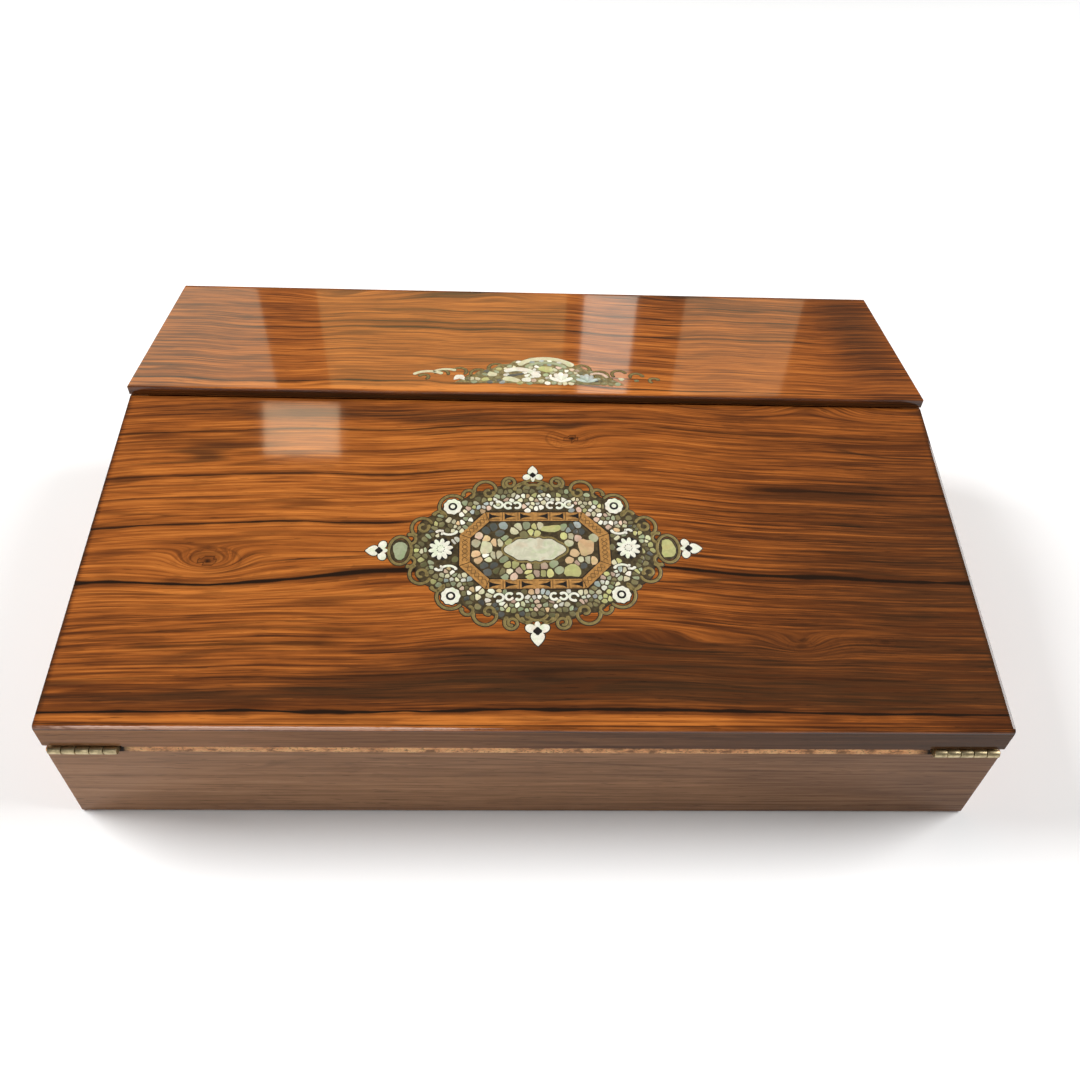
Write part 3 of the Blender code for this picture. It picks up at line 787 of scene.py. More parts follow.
def shell(name, base=None):
    """Polished shell: its own tint, clouded and shot with faint green and pink."""
    n = Nodes(name)
    place = n.node("ShaderNodeTexCoord").outputs["Object"]
    tint = n.value_of("tint", "Color") if base is None else base
    cloud = n.noise(place, 420, detail=3, roughness=0.6, distortion=0.6)
    play = n.noise(place, 170, detail=2, distortion=1.2)
    nacre = tint
    # Each cloud: (noise, where it starts, where it is whole, its strength, what it multiplies the shell by).
    for noise, start, end, amount, shade in (
        (cloud, 0.35, 0.65, 0.35, (0.55, 0.56, 0.50)),
        (play, 0.52, 0.66, 0.4, (0.80, 1.0, 0.72)),
        (play, 0.46, 0.34, 0.4, (1.0, 0.80, 0.74)),
    ):
        share = n.step(noise, start, end, 0.0, amount)
        nacre = n.mix(share, nacre, n.mix(1.0, nacre, shade, "MULTIPLY"))
    gloss = {"roughness": 0.32, "coat_weight": 0.7, "coat_roughness": 0.08}
    return n.finish(base_color=nacre, normal=n.bump(cloud, 0.12, 0.05 * MM), **gloss)


def plain_finish(name, base, roughness, scale=300, depth=0.25, lift=2.0):
    """A nearly even colour with faint mottling, such as filler or ebony."""
    n = Nodes(name)
    place = n.node("ShaderNodeTexCoord").outputs["Object"]
    cloud = n.noise(place, scale, detail=3)
    shade = n.mix(n.step(cloud, 0.35, 0.68, 0.0, depth), base, [min(1.0, lift * c) for c in base])
    return n.finish(base_color=shade, roughness=roughness, normal=n.bump(cloud, 0.1, 0.05 * MM))


MADE = {}


def materials():
    """Every material by name, made once."""
    if not MADE:
        shades = finishes()
        main = (shades.rosewood_light, shades.rosewood_mid, shades.rosewood_dark)
        MADE["veneer"] = veneer("rosewood_veneer", *main)
        # The fronts' greyer colours hold a painted haze that stands in for the polish mirroring the floor.
        case = (shades.case_light, shades.case_mid, shades.case_dark)
        MADE["front"] = veneer("rosewood_front", *case, 0.55, 0.50, 0.5, 0.45)
        brow = (shades.brow_light, shades.brow_mid, shades.brow_dark)
        MADE["brow"] = veneer("rosewood_brow", *brow, 0.45, 0.52, 0.5, 0.40)
        MADE["bare"] = bare_wood("inner_wood")
        MADE["worn"] = worn_edge("worn_edge")
        MADE["hinge"] = aged_metal("hinge_brass", shades.hinge_brass, (0.16, 0.12, 0.07), 0.36, 380)
        grime = (0.12, 0.09, 0.035)
        MADE["strap"] = aged_metal("strap_brass", shades.strap_brass, grime, 0.42, 620, 0.6, 0.45)
        MADE["ground"] = plain_finish("inlay_ground", shades.ground, 0.4, 650, 1.0, 2.2)
        MADE["dark"] = plain_finish("inlay_shadow", (0.018, 0.012, 0.007), 0.4)
        MADE["half_ground"] = plain_finish("half_ground", (0.13, 0.10, 0.042), 0.4, 650, 1.0)
        MADE["half_dark"] = plain_finish("half_shadow", (0.055, 0.040, 0.018), 0.4)
        MADE["banding_line"] = plain_finish("banding_line", [0.42 * c for c in shades.banding], 0.4, 900, 0.4)
        MADE["ebony"] = plain_finish("ebony", (0.012, 0.010, 0.009), 0.3)
        MADE["banding"] = plain_finish("coppery_banding", shades.banding, 0.35, 700, 0.5)
        MADE["pearl"] = shell("pearl_shell", shades.pearl)
        MADE["plaque"] = shell("plaque_shell", shades.plaque)
        MADE["chips"] = shell("abalone_shell")
    return MADE


# ---------------------------------------------------------------------------------------------------------
# Boards


def lid_ring(kind, tops):
    """The lid's outline in Y and Z: up its front, over the arris, up the slope, down its end and back below.

    kind is plain, round where only the knuckles' mortise is cut, or leaf where a leaf's recess is too.
    """
    s = sizes()
    angle = slope_angle()
    touch = s.arris_radius * math.tan((math.pi / 2 - angle) / 2)
    centre = (FRONT_Y + s.arris_radius, s.front_height - touch)
    over_arris = arc(centre, s.arris_radius, math.pi, math.pi / 2 + angle, 6)
    slope = on_slope(0.0, tops)[:, 1:]
    end_y = LID_HIGH[1]
    corner = np.array([[end_y, slope[-1][1] - BACK_BEVEL], [end_y, slope[-1][1] - s.edge_radius]])
    half_gap = s.seam_gap / 2
    floor = half_gap + s.leaf_thickness + s.seam_gap
    reach = s.leaf_reach + s.seam_gap
    mortise = 2.0 * MM
    end_z = seam_height(end_y) + half_gap
    end_below = [[end_y, end_z + BEVEL], [end_y - BEVEL, end_z]]
    bevel_y = FRONT_Y + s.lid_chamfer
    bevel = np.array([[bevel_y, seam_height(bevel_y) + half_gap], [FRONT_Y, AXIS_Z + s.lid_chamfer]])
    front_angle = math.acos((FRONT_Y - AXIS_Y) / mortise) - angle
    if kind == "plain":
        below = from_hinge([reach, reach - BEVEL], [half_gap, half_gap])
        front = bevel[0] + (bevel[1] - bevel[0]) * np.linspace(0, 1, 6)[:, None]
    else:
        level = floor if kind == "leaf" else half_gap
        start = math.asin(level / mortise)
        below = from_hinge([reach, reach - (0.0 if kind == "leaf" else BEVEL)], [half_gap, level])
        angles = np.linspace(start, front_angle, 6)
        front = from_hinge(mortise * np.cos(angles), mortise * np.sin(angles))
    return np.concatenate([front[-1:], over_arris, slope, corner, end_below, below, front[:-1]])


def zoned_stations(spacing, kinds):
    """Stations along X with the kind of outline at each: the mortises' ends get two stations together."""
    round_start, leaf_start = hinge_zones()
    inner = np.arange(-round_start, round_start, spacing)
    edge = 0.02 * MM
    right = [(round_start - edge, 0), (round_start, 1), (leaf_start - edge, 1), (leaf_start, 2), (SIDE_X, 2)]
    left = [(-x, kind) for x, kind in reversed(right)]
    stations = left + [(x, 0) for x in inner[1:-1]] + right
    extra = np.arange(leaf_start + spacing, SIDE_X - 1 * MM, spacing)
    stations += [(sign * x, 2) for x in extra for sign in (-1, 1)]
    stations.sort()
    return np.array([x for x, _ in stations]), [kinds[kind] for _, kind in stations]


def make_lid():
    """The slope lid's board."""
    s = sizes()
    angle = slope_angle()
    touch = s.arris_radius * math.tan((math.pi / 2 - angle) / 2)
    length = (LID_HIGH[1] - BACK_BEVEL - FRONT_Y) / math.cos(angle)
    tops = np.arange(touch + 1 * MM, length - 1 * MM, 1.1 * MM)
    tops = np.append(tops, [length - 0.4 * MM, length - 0.05 * MM])
    made = {kind: lid_ring(kind, tops) for kind in ("plain", "round", "leaf")}
    xs, kinds = zoned_stations(1.1 * MM, ("plain", "round", "leaf"))
    rings = np.stack([made[kind] for kind in kinds])
    count = rings.shape[1]
    arris_end = 7
    top_end = arris_end + len(tops)
    ring = made["plain"]
    arris = np.linalg.norm(np.diff(ring[1:arris_end + 2], axis=0), axis=1).sum()
    top_start = tops[0] - arris
    segments = (
        (0, 1, 3, 2.0, -0.012),
        (1, top_end, 0, 0, top_start),
        (top_end, top_end + 2, 0, 5.0, 0.0),
        (top_end + 2, count - 5, 1, 1.0, 0.0),
        (count - 5, count, 2, 1.0, 0.0),
    )
    figure = figure_of(**SLOPE_FIGURE)
    # The lid's front and back end darken to the right, partly painted shade for the light falling off.
    shading = falling_tone_and_shade(0.12, 1.0)
    patches = board_patches(xs, rings, segments, s.edge_radius, np.ones(count), 0, 3.0, figure, shading)
    m = materials()
    coats = (m["veneer"], m["bare"], m["worn"], m["brow"])
    make_piece("slope_lid_board", patches, coats, "lid", ("slope_lid",))


def make_flap():
    """The flap's board."""
    s = sizes()
    radius = s.edge_radius
    low, high = FLAP_LOW[2], FLAP_HIGH[2] - RELIEF * MM
    front, back = FLAP_LOW[1], FLAP_HIGH[1]
    ups = np.arange(radius + 1 * MM, back - front - radius - 1 * MM, 1.5 * MM)
    rise = arc((front + radius, high - radius), radius, math.pi, math.pi / 2, 4)
    fall = arc((back - radius, high - radius), radius, math.pi / 2, 0, 4)
    ring = np.concatenate([
        [[front, low + radius]],
        rise,
        np.stack([front + ups, np.full(len(ups), high)], -1),
        fall,
        arc((back - radius, low + radius), radius, 0, -math.pi / 2, 3),
        arc((front + radius, low + radius), radius, -math.pi / 2, -math.pi, 3)[:-1],
    ])
    count = len(ring)
    top_end = len(rise) + len(ups) + len(fall)
    start = -(high - low - 2 * radius) - radius * (math.pi / 2 - 1)
    segments = ((0, top_end, 0, 0, start), (top_end, count - 3, 1, 4.0, 0.0), (count - 3, count, 0, 4.0, 0.0))
    xs = np.linspace(FLAP_LOW[0], FLAP_HIGH[0], 241)
    figure = figure_of(**FLAP_FIGURE)
    rings = np.broadcast_to(ring, (len(xs), *ring.shape))
    patches = board_patches(xs, rings, segments, radius, np.ones(count), 0, 6.0, figure)
    m = materials()
    make_piece("flap_board", patches, (m["veneer"], m["bare"]), "case", ("top_flap",))


def case_front_ring(kind):
    """The front board's outline: up its face, over the bevel or the leaf's recess, and down inside."""
    s = sizes()
    half_gap = s.seam_gap / 2
    floor = half_gap + s.leaf_thickness + s.seam_gap
    inner = FRONT_Y + WALL
    low = [[inner, 0], [FRONT_Y + 0.4 * MM, 0], [FRONT_Y, 0.4 * MM]]
    bevel_low = np.array([FRONT_Y, AXIS_Z - s.case_chamfer])
    bevel_high = np.array([FRONT_Y + s.case_chamfer, seam_height(FRONT_Y + s.case_chamfer) - half_gap])
    inside = [inner, seam_height(inner) - half_gap]
    reach = s.leaf_reach + s.seam_gap
    if kind == "leaf":
        near, far = from_hinge([0.0, reach], [-floor, -floor])
        rise = (bevel_high - bevel_low)[1] / (bevel_high - bevel_low)[0]
        slope = (far - near)[1] / (far - near)[0]
        y = (near[1] - bevel_low[1] + rise * bevel_low[0] - slope * near[0]) / (rise - slope)
        meet = np.array([y, bevel_low[1] + rise * (y - bevel_low[0])])
        over = [meet, far, from_hinge(reach, -half_gap)]
    else:
        over = [bevel_high, from_hinge(reach - BEVEL, -half_gap), from_hinge(reach, -half_gap)]
    return np.array([*low, bevel_low, *over, inside])


def front_patches():
    """The front board, with a recess for each hinge's leaf."""
    xs, kinds = zoned_stations(5 * MM, ("plain", "plain", "leaf"))
    rings = np.stack([case_front_ring(kind) for kind in kinds])
    keep = np.array([0, 1, 1, 1, 1, 1, 1, 0])
    segments = (
        (2, 3, 3, 11.0, 0.0),
        (3, 4, 2, 1.0, 0.0),
        (4, 7, 1, 1.0, 0.0),
        (7, 8, 1, 12.0, 0.0),
        (0, 2, 1, 1.0, 0.0),
    )
    # The case front darkens to the right, partly painted shade for the light falling off.
    shading = falling_tone_and_shade(0.05, 0.40)
    return board_patches(xs, rings, segments, sizes().corner_radius, keep, 0, 13.0, shading=shading)


def back_patches():
    """The back board, with its outer edges bevelled."""
    inner, top = BACK_LOW[1], BACK_HIGH[2]
    ring = np.array([
        [inner, 0], [inner, top], [BACK_Y - BEVEL, top], [BACK_Y, top - BEVEL], [BACK_Y, BEVEL],
        [BACK_Y - BEVEL, 0],
    ])
    ends = np.array([-SIDE_X, SIDE_X])
    segments = ((0, 1, 1, 14.0, 0.0), (1, 3, 1, 15.0, 0.0), (3, 4, 0, 16.0, 0.0), (4, 6, 1, 15.0, 0.0))
    keep = np.array([0, 0, 1, 1, 1, 1])
    return board_patches(ends, np.stack([ring, ring]), segments, sizes().corner_radius, keep, 0, 13.0)


def side_patches():
    """Both side boards, their tops sloped under the lid and level under the flap."""
    half_gap = sizes().seam_gap / 2
    start, end = FRONT_Y + WALL, BACK_LOW[1]
    step_y = FLAP_FRONT_Y
    ring = np.array([
        [start, 0], [start, seam_height(start) - half_gap], [step_y, seam_height(step_y) - half_gap],
        [step_y, SIDE_HIGH[2]], [end, SIDE_HIGH[2]], [end, 0],
    ])
    rings = np.stack([ring, ring])
    keep = np.array([0, 1, 1, 1, 0, 0])
    sides = []
    for sign in (-1, 1):
        ends = np.sort(np.array([sign * SIDE_X, sign * (SIDE_X - WALL)]))
        segments = ((0, 6, 1, 17.0 + sign, 0.0),)
        patches = board_patches(ends, rings, segments, BEVEL, keep, 0, 13.0)
        inner_face = patches[-1] if sign < 0 else patches[-2]
        inner_face["slot"] = 1
        sides += patches
    return sides


def make_bottom():
    """The bottom board, let in between the four walls."""
    low, high = BOTTOM_LOW, BOTTOM_HIGH
    ring = np.array([[low[1], low[2]], [low[1], high[2]], [high[1], high[2]], [high[1], low[2]]])
    xs = np.array([low[0], high[0]])
    segments = ((0, 4, 0, 19.0, 0.0),)
    patches = board_patches(xs, np.stack([ring, ring]), segments, 0.2 * MM, np.ones(4), 0, 19.0)
    coats = (materials()["bare"],)
    make_piece("case_bottom_board", patches, coats, "case", ("case_bottom",))


def make_case():
    """Front, back and side boards that meet under one skin of veneer, and the bottom board between them."""
    m = materials()
    coats = (m["veneer"], m["bare"], m["worn"], m["front"])
    nodes = ("case_front", "case_back", "case_left_side", "case_right_side")
    patches = front_patches() + back_patches() + side_patches()
    make_piece("case_boards", patches, coats, "case", nodes)
    make_bottom()


# ---------------------------------------------------------------------------------------------------------
# Hinges

KNUCKLES = 5
# Distances from the hinge's axis: a knuckle's neck from and to, the leaf's plate from, and its screws.
NECK_START, NECK_END, PLATE_START, SCREW_OUT = 0.9 * MM, 2.6 * MM, 2.1 * MM, 5.0 * MM
SCREW_RADIUS = 1.15 * MM
# Places of the screws, in hinge lengths from its middle.
SCREW_PLACES = (-0.33, 0.0, 0.33)
# Space at each end of a knuckle.
KNUCKLE_GAP = 0.15 * MM


def turned(profile, steps=28):
    """A ring turned round the hinge's axis: a closed profile of (along X, radius) carried round a circle."""
    angles = np.linspace(0, 2 * math.pi, steps, endpoint=False)
    profile = np.asarray(profile, float)
    points = np.empty((steps, len(profile), 3))
    points[..., 0] = profile[None, :, 0]
    points[..., 1:] = from_hinge(
        profile[None, :, 1] * np.cos(angles)[:, None], profile[None, :, 1] * np.sin(angles)[:, None]
    )
    return patch(points, quads(steps, len(profile), True, True))


def hinge_slab(x_low, x_high, out_low, out_high, over_low, over_high, edge):
    """A bevelled plate in the hinge's own axes: rings that shrink towards each face."""
    rings = []
    for over, inset in ((over_low, edge), (over_low + edge, 0), (over_high - edge, 0), (over_high, edge)):
        x0, x1, y0, y1 = x_low + inset, x_high - inset, out_low + inset, out_high - inset
        corner = edge * 1.5
        ring = np.array([
            (x0 + corner, y0), (x1 - corner, y0), (x1, y0 + corner), (x1, y1 - corner),
            (x1 - corner, y1), (x0 + corner, y1), (x0, y1 - corner), (x0, y0 + corner),
        ])
        rings.append(np.column_stack([ring[:, 0], from_hinge(ring[:, 1], np.full(8, over))]))
    faces = [*quads(4, 8, False, True).tolist(), list(range(8)), list(range(24, 32))]
    return patch(np.array(rings), faces)


def screw_head(x, out, over, facing, radius):
    """A slotted screw head: a flat dome whose middle sinks along a straight slot."""
    rows, columns = 7, 24
    share = np.linspace(0, 1, rows)[:, None]
    angles = np.linspace(0, 2 * math.pi, columns, endpoint=False)[None, :]
    u = radius * share * np.cos(angles)
    v = radius * share * np.sin(angles)
    dome, depth = 0.06 * MM, 0.22 * MM
    slot = (np.abs(v) < 0.16 * radius) * (share < 0.98)
    height = dome * (1 - share**4) - depth * slot
    side = from_hinge(out + v, over + facing * height)
    points = np.concatenate([(x + u)[..., None], side], -1)
    sunk = over - facing * 0.3 * MM
    rim = from_hinge(out + v[-1:], np.full_like(v[-1:], sunk))
    base = np.concatenate([(x + u[-1:])[..., None], rim], -1)
    middle = np.broadcast_to(np.append(x, from_hinge(out, sunk)), (1, columns, 3))
    return patch(np.concatenate([points, base, middle]), quads(rows + 2, columns, False, True))


def leaf_patches(centre, first, facing):
    """A leaf: every second knuckle from the first on, their necks, the plate and its screws."""
    s = sizes()
    pitch = HINGE_LENGTH / KNUCKLES
    edge = 0.18 * MM
    outer, inner = s.knuckle_radius, s.pin_radius
    half_gap = s.seam_gap / 2
    low, high = sorted((facing * half_gap, facing * (half_gap + s.leaf_thickness)))
    patches = []
    for index in range(first, KNUCKLES, 2):
        start = centre - HINGE_LENGTH / 2 + pitch * index + KNUCKLE_GAP
        end = start + pitch - 2 * KNUCKLE_GAP
        profile = [
            (start, inner), (start, outer - edge), (start + 0.3 * edge, outer - 0.3 * edge),
            (start + edge, outer), (end - edge, outer), (end - 0.3 * edge, outer - 0.3 * edge),
            (end, outer - edge), (end, inner),
        ]
        patches.append(turned(profile))
        patches.append(hinge_slab(start, end, NECK_START, NECK_END, low, high, 0.08 * MM))
    x_low, x_high = centre - HINGE_LENGTH / 2, centre + HINGE_LENGTH / 2
    patches.append(hinge_slab(x_low, x_high, PLATE_START, s.leaf_reach, low, high, 0.12 * MM))
    for shift in SCREW_PLACES:
        place = centre + shift * HINGE_LENGTH
        patches.append(screw_head(place, SCREW_OUT, facing * half_gap, -facing, SCREW_RADIUS))
    return patches


def pin_patches(centre):
    """A pin: a rod with a small chamfer at each end."""
    half = HINGE_LENGTH / 2 - KNUCKLE_GAP
    x_low, x_high = centre - half, centre + half
    radius = sizes().pin_radius - 0.02 * MM
    chamfer = 0.1 * MM
    tip = 1e-7
    profile = [
        (x_low, tip), (x_low, 0.6 * radius), (x_low + chamfer, radius), (x_high - chamfer, radius),
        (x_high, 0.6 * radius), (x_high, tip),
    ]
    return [turned(profile, 20)]


def make_hinges():
    """Both hinges: a case leaf, a lid leaf and a pin each."""
    coats = (materials()["hinge"],)
    for side, sign in (("left", -1), ("right", 1)):
        centre = sign * HINGE_X
        for part, body, patches in (
            ("case_leaf", "case", leaf_patches(centre, 0, -1)),
            ("lid_leaf", "lid", leaf_patches(centre, 1, 1)),
            ("pin", "case", pin_patches(centre)),
        ):
            node = f"{side}_hinge_{part}"
            make_piece(f"{node}_brass", patches, coats, body, (node,))


# ---------------------------------------------------------------------------------------------------------
# Inlay

# How far below the wood's surface the inlay's pieces start, in millimetres.
BED = -0.3
# Tints of the shell chips.
TINTS = {
    "pearl": (0.74, 0.71, 0.61),
    "cream": (0.60, 0.56, 0.37),
    "yellow": (0.47, 0.45, 0.19),
    "green": (0.33, 0.36, 0.22),
    "blue": (0.38, 0.42, 0.40),
    "pink": (0.58, 0.41, 0.31),
    "peach": (0.58, 0.40, 0.22),
    "slate": (0.085, 0.088, 0.08),
    "olive": (0.17, 0.15, 0.07),
}
# Shares of the tints in each broad area.
OUTER_MIX = {"pearl": 6, "cream": 5, "pink": 3, "green": 2, "blue": 2, "olive": 3, "peach": 1, "yellow": 1}
RIM_MIX = {"olive": 6, "yellow": 2, "cream": 1, "green": 2, "slate": 1}
END_MIX = {"pink": 2, "peach": 4, "cream": 4, "pearl": 2, "olive": 1}
LONG_MIX = {"yellow": 5, "green": 3, "cream": 3, "pink": 1, "olive": 2}
CORNER_MIX = {"slate": 4, "olive": 2, "blue": 1}
HALF_MIX = {"pearl": 5, "cream": 5, "green": 3, "yellow": 1, "blue": 2, "pink": 1}

# Sizes below are millimetres from the medallion's centre, for the quarter up and to the right.
GROUND = (51, 32, 1.9, 22, 0.02)  # half width, half height, power, number of scallops, their depth
OCTAGON = (31.0, 18.2, 20.5, 7.5)  # half width, half height, and where the corners are cut
OCTAGON_BAND = 4.6
PLAQUE = (12.2, 5.4, 2.1, 10, 0.05)
LOOP = (55, 0, 4.6, 1.4)  # across, up, half width, height over width
DAISY = (34, 21, 3.75)
ROSETTE = (38.5, 0.5, 5.2)
ARROWS = (3.5, 10, 16.5)
ARROW_LEVEL = 16.1
# Brass scrolls: (across, up, radius, start in degrees, turns, how much they tighten).
STRAP_SCROLLS = (
    (46, 11, 5.0, -60, 0.60, 0.2),
    (46, 11, 2.4, 150, 0.90, 0.5),
    (39, 16, 3.0, 10, 0.50, 0.3),
    (34, 21, 5.6, -60, 0.55, 0.0),
    (27, 27, 2.8, -20, 0.80, 0.5),
    (20, 29, 5.2, -10, 0.55, 0.2),
    (19, 28, 2.3, 160, 0.90, 0.5),
    (10, 33, 3.1, -60, 1.50, 0.7),
    (4, 29, 4.0, 0, 0.35, 0.1),
    (51, 5, 2.6, 60, 0.60, 0.3),
)
STRAP_HALF = 0.58
PEARL_HALF = 0.5
# Pearl scrolls, in the same values with a stretch across at the end.
PEARL_SCROLLS = (
    (7, 21.5, 1.5, 30, 0.80, 0.1, 1.0),
    (10.8, 21.5, 1.5, 210, 0.90, 0.1, 1.0),
    (15, 21.8, 1.7, 60, 0.85, 0.2, 1.2),
    (35.5, 9.0, 1.9, 170, 0.60, 0.3, 1.8),
    (39, 8.2, 1.2, 0, 0.70, 0.3, 1.2),
)
# Large pieces, each in its own place: (across, up, half width, half height, tint).
LOOP_SHELLS = ((-55, 0, 2.8, 4.2, "green"), (55, 0, 2.8, 4.2, "yellow"))
FIELD_SHELLS = (
    (21, 1, 3.2, 3.8, "peach"),
    (15, -10, 3.4, 2.8, "yellow"),
    (7, 10, 4.6, 1.6, "yellow"),
    (-20, 1, 2.4, 3.0, "cream"),
)
# Brass arches above and below the octagon: how far up their centre is, and their radii.
ARCH_UP = 27
ARCH_RADII = (5, 7.4)
# The lattice on the octagon: how far its lines swing, and how fast, in radians to the millimetre.
LATTICE_SWING = 1.05
LATTICE_PACE = 1.55
# Distance between chips round the octagon and inside it, and the gap that is left between two.
OUTER_CELL = 2.2
FIELD_CELL = 3.1
CHIP_GAP = 0.36
# Where the darker chips of the rim start, from 0 in the middle to 1 on the ground's outline.
RIM_START = 0.74


def smooth_line(points, closed=False, per_span=7):
    """A curve through the points, of cubics whose slopes are half the step between neighbours."""
    points = np.asarray(points, float)
    if closed:
        before, after, after_next = np.roll(points, 1, 0), np.roll(points, -1, 0), np.roll(points, -2, 0)
        first = points
    else:
        padded = np.concatenate([2 * points[:1] - points[1:2], points, 2 * points[-1:] - points[-2:-1]])
        before, first, after, after_next = padded[:-3], padded[1:-2], padded[2:-1], padded[3:]
    t = np.linspace(0, 1, per_span, endpoint=False)[None, :, None]
    a, b, c, d = (row[:, None] for row in (before, first, after, after_next))
    curve = 0.5 * (2 * b + (c - a) * t + (2 * a - 5 * b + 4 * c - d) * t**2 + (3 * b - a - 3 * c + d) * t**3)
    curve = curve.reshape(-1, 2)
    return curve if closed else np.concatenate([curve, points[-1:]])


def ribbon(lay, points, half, high, closed=False, bulb=0.0, grow=0.0, slot=0, **attributes):
    """A flat strap laid along a curve: a chamfered section carried along it.

    Its half width is half * sqrt(1 - (1 - d / half) ** 2) at a distance d under half from an end, and a
    bulb swells its first end by 1 + bulb * exp(-(d / half - 1) ** 2 / 3). grow widens it all over.
    """
    path = smooth_line(points, closed)
    if closed:
        along = np.roll(path, -1, 0) - np.roll(path, 1, 0)
        reach = np.full(len(path), half)
    else:
        gone = np.concatenate([[0], np.cumsum(np.linalg.norm(np.diff(path, axis=0), axis=1))])
        length = gone[-1]
        ends = half * (1 - np.cos(np.linspace(0, math.pi / 2, 4)))
        stops = np.unique(np.concatenate([ends, gone[(gone > half) & (gone < length - half)], length - ends]))
        path = np.stack([np.interp(stops, gone, path[:, i]) for i in (0, 1)], -1)
        along = np.gradient(path, axis=0)
        inward = np.clip(1 - np.minimum(stops, length - stops) / half, 0, 1)
        reach = half * np.sqrt(1 - inward**2) * (1 + bulb * np.exp(-((stops / half - 1) ** 2) / 3))
        if grow:
            along_unit = along / np.linalg.norm(along, axis=1, keepdims=True)
            path = path - along_unit * (grow * (inward * (stops < length / 2))[:, None])
            path = path + along_unit * (grow * (inward * (stops > length / 2))[:, None])
            reach = reach + grow * np.sqrt(1 - inward**2)
    if closed:
        reach = reach + grow
    along = along / np.linalg.norm(along, axis=1, keepdims=True)
    side = np.stack([along[:, 1], -along[:, 0]], 1)
    shares = np.array([-1, -1, -0.72, 0.72, 1, 1])
    heights = np.array([BED, high - 0.05, high, high, high - 0.05, BED])
    across = path[:, None] + side[:, None] * (reach[:, None] * shares)[..., None]
    laid = lay(across[..., 0], across[..., 1], np.broadcast_to(heights, across.shape[:2]))
    return patch(laid, quads(len(path), 6, closed, True), slot, **attributes)


def blob(lay, centre, outline, high, dome=0.04, slot=0, **attributes):
    """A low cushion on an outline about a centre: rings at shares of the outline, closed at both poles."""
    shares = np.array([0, 1, 1, 0.84, 0])[:, None, None]
    heights = np.array([BED, BED, high - 0.05, high, high + dome])[:, None]
    ring = np.asarray(centre) + shares * outline
    laid = lay(ring[..., 0], ring[..., 1], np.broadcast_to(heights, ring.shape[:2]))
    return patch(laid, quads(5, len(outline), False, True), slot, **attributes)


def rotated(across, up, turn):
    """Rows of (across, up), turned about the middle."""
    cosine, sine = math.cos(turn), math.sin(turn)
    return np.stack([across * cosine - up * sine, across * sine + up * cosine], 1)


def lobed(radius, lobes=0, depth=0.0, steps=16, turn=0.0, stretch=1.0):
    """An outline of radius * (1 + depth * cos(lobes * angle)), stretched across."""
    angles = np.linspace(0, 2 * math.pi, steps, endpoint=False)
    reach = radius * (1 + depth * np.cos(lobes * angles))
    across, up = reach * np.cos(angles) * stretch, reach * np.sin(angles)
    return rotated(across, up, turn)


def chip_outline(number, half_width, half_height, steps=14):
    """A hand-cut shape: |x| ** n + |y| ** n = 1 with three shallow waves, unlike its neighbours."""
    angles = np.linspace(0, 2 * math.pi, steps, endpoint=False)
    power = 2.2 + 1.6 * ((number * 0.618) % 1)
    reach = (np.abs(np.cos(angles)) ** power + np.abs(np.sin(angles)) ** power) ** (-1 / power)
    reach *= 1 + 0.10 * np.sin(3 * angles + 2.4 * number) + 0.05 * np.sin(5 * angles + 1.7 * number)
    turn = 0.35 * math.sin(3.1 * number)
    across, up = half_width * reach * np.cos(angles), half_height * reach * np.sin(angles)
    return rotated(across, up, turn)


def plate(lay, outline, high, edge=0.05, slot=0, **attributes):
    """A flat plate with a small chamfer round its top."""
    outline = np.asarray(outline, float)
    inner = outline - edge * outline_normals(outline)
    rings = np.stack([outline, outline, inner])
    heights = np.broadcast_to(np.array([BED, high - edge, high])[:, None], rings.shape[:2])
    count = len(outline)
    faces = [*quads(3, count, False, True).tolist(), list(range(count)), list(range(2 * count, 3 * count))]
    return patch(lay(rings[..., 0], rings[..., 1], heights), faces, slot, **attributes)


def mirrored(outline, across=1, up=1):
    """An outline with its sides or its ends changed over."""
    return np.asarray(outline, float) * (across, up)


def on_medallion(u, v, w):
    """Places millimetres from the medallion's centre on the slope."""
    places = bpy.context.scene.slope_places
    turn = places.medallion_turn
    across = places.medallion_across + MM * (u * math.cos(turn) - v * math.sin(turn))
    up = places.medallion_up + MM * (u * math.sin(turn) + v * math.cos(turn))
    return on_slope(across, up, MM * w)


def on_half_medallion(u, v, w):
    """Places millimetres from the middle of the half medallion's base line on the flap."""
    places = bpy.context.scene.slope_places
    return on_flap(places.half_across + MM * u, places.half_up + MM * v, MM * (w - RELIEF))


QUARTERS = ((1, 1), (-1, 1), (-1, -1), (1, -1))


def scalloped(half_width, half_height, power, lobes, depth, steps=160):
    """A closed outline: |x / a| ** n + |y / b| ** n = 1, times 1 + depth * cos(lobes * angle)."""
    angles = np.linspace(0, 2 * math.pi, steps, endpoint=False)
    across, up = np.cos(angles), np.sin(angles)
    reach = (np.abs(across / half_width) ** power + np.abs(up / half_height) ** power) ** (-1 / power)
    reach *= 1 + depth * np.cos(lobes * angles)
    return np.stack([reach * across, reach * up], 1)


def octagon(inset=0.0):
    """The octagon's corners, counterclockwise, with its sides moved in."""
    half_width, half_height, cut_across, cut_up = OCTAGON
    first = np.array([(half_width, cut_up), (cut_across, half_height)])
    corners = np.concatenate([(first * (across, up))[:: across * up] for across, up in QUARTERS])
    return corners - inset * outline_normals(corners)


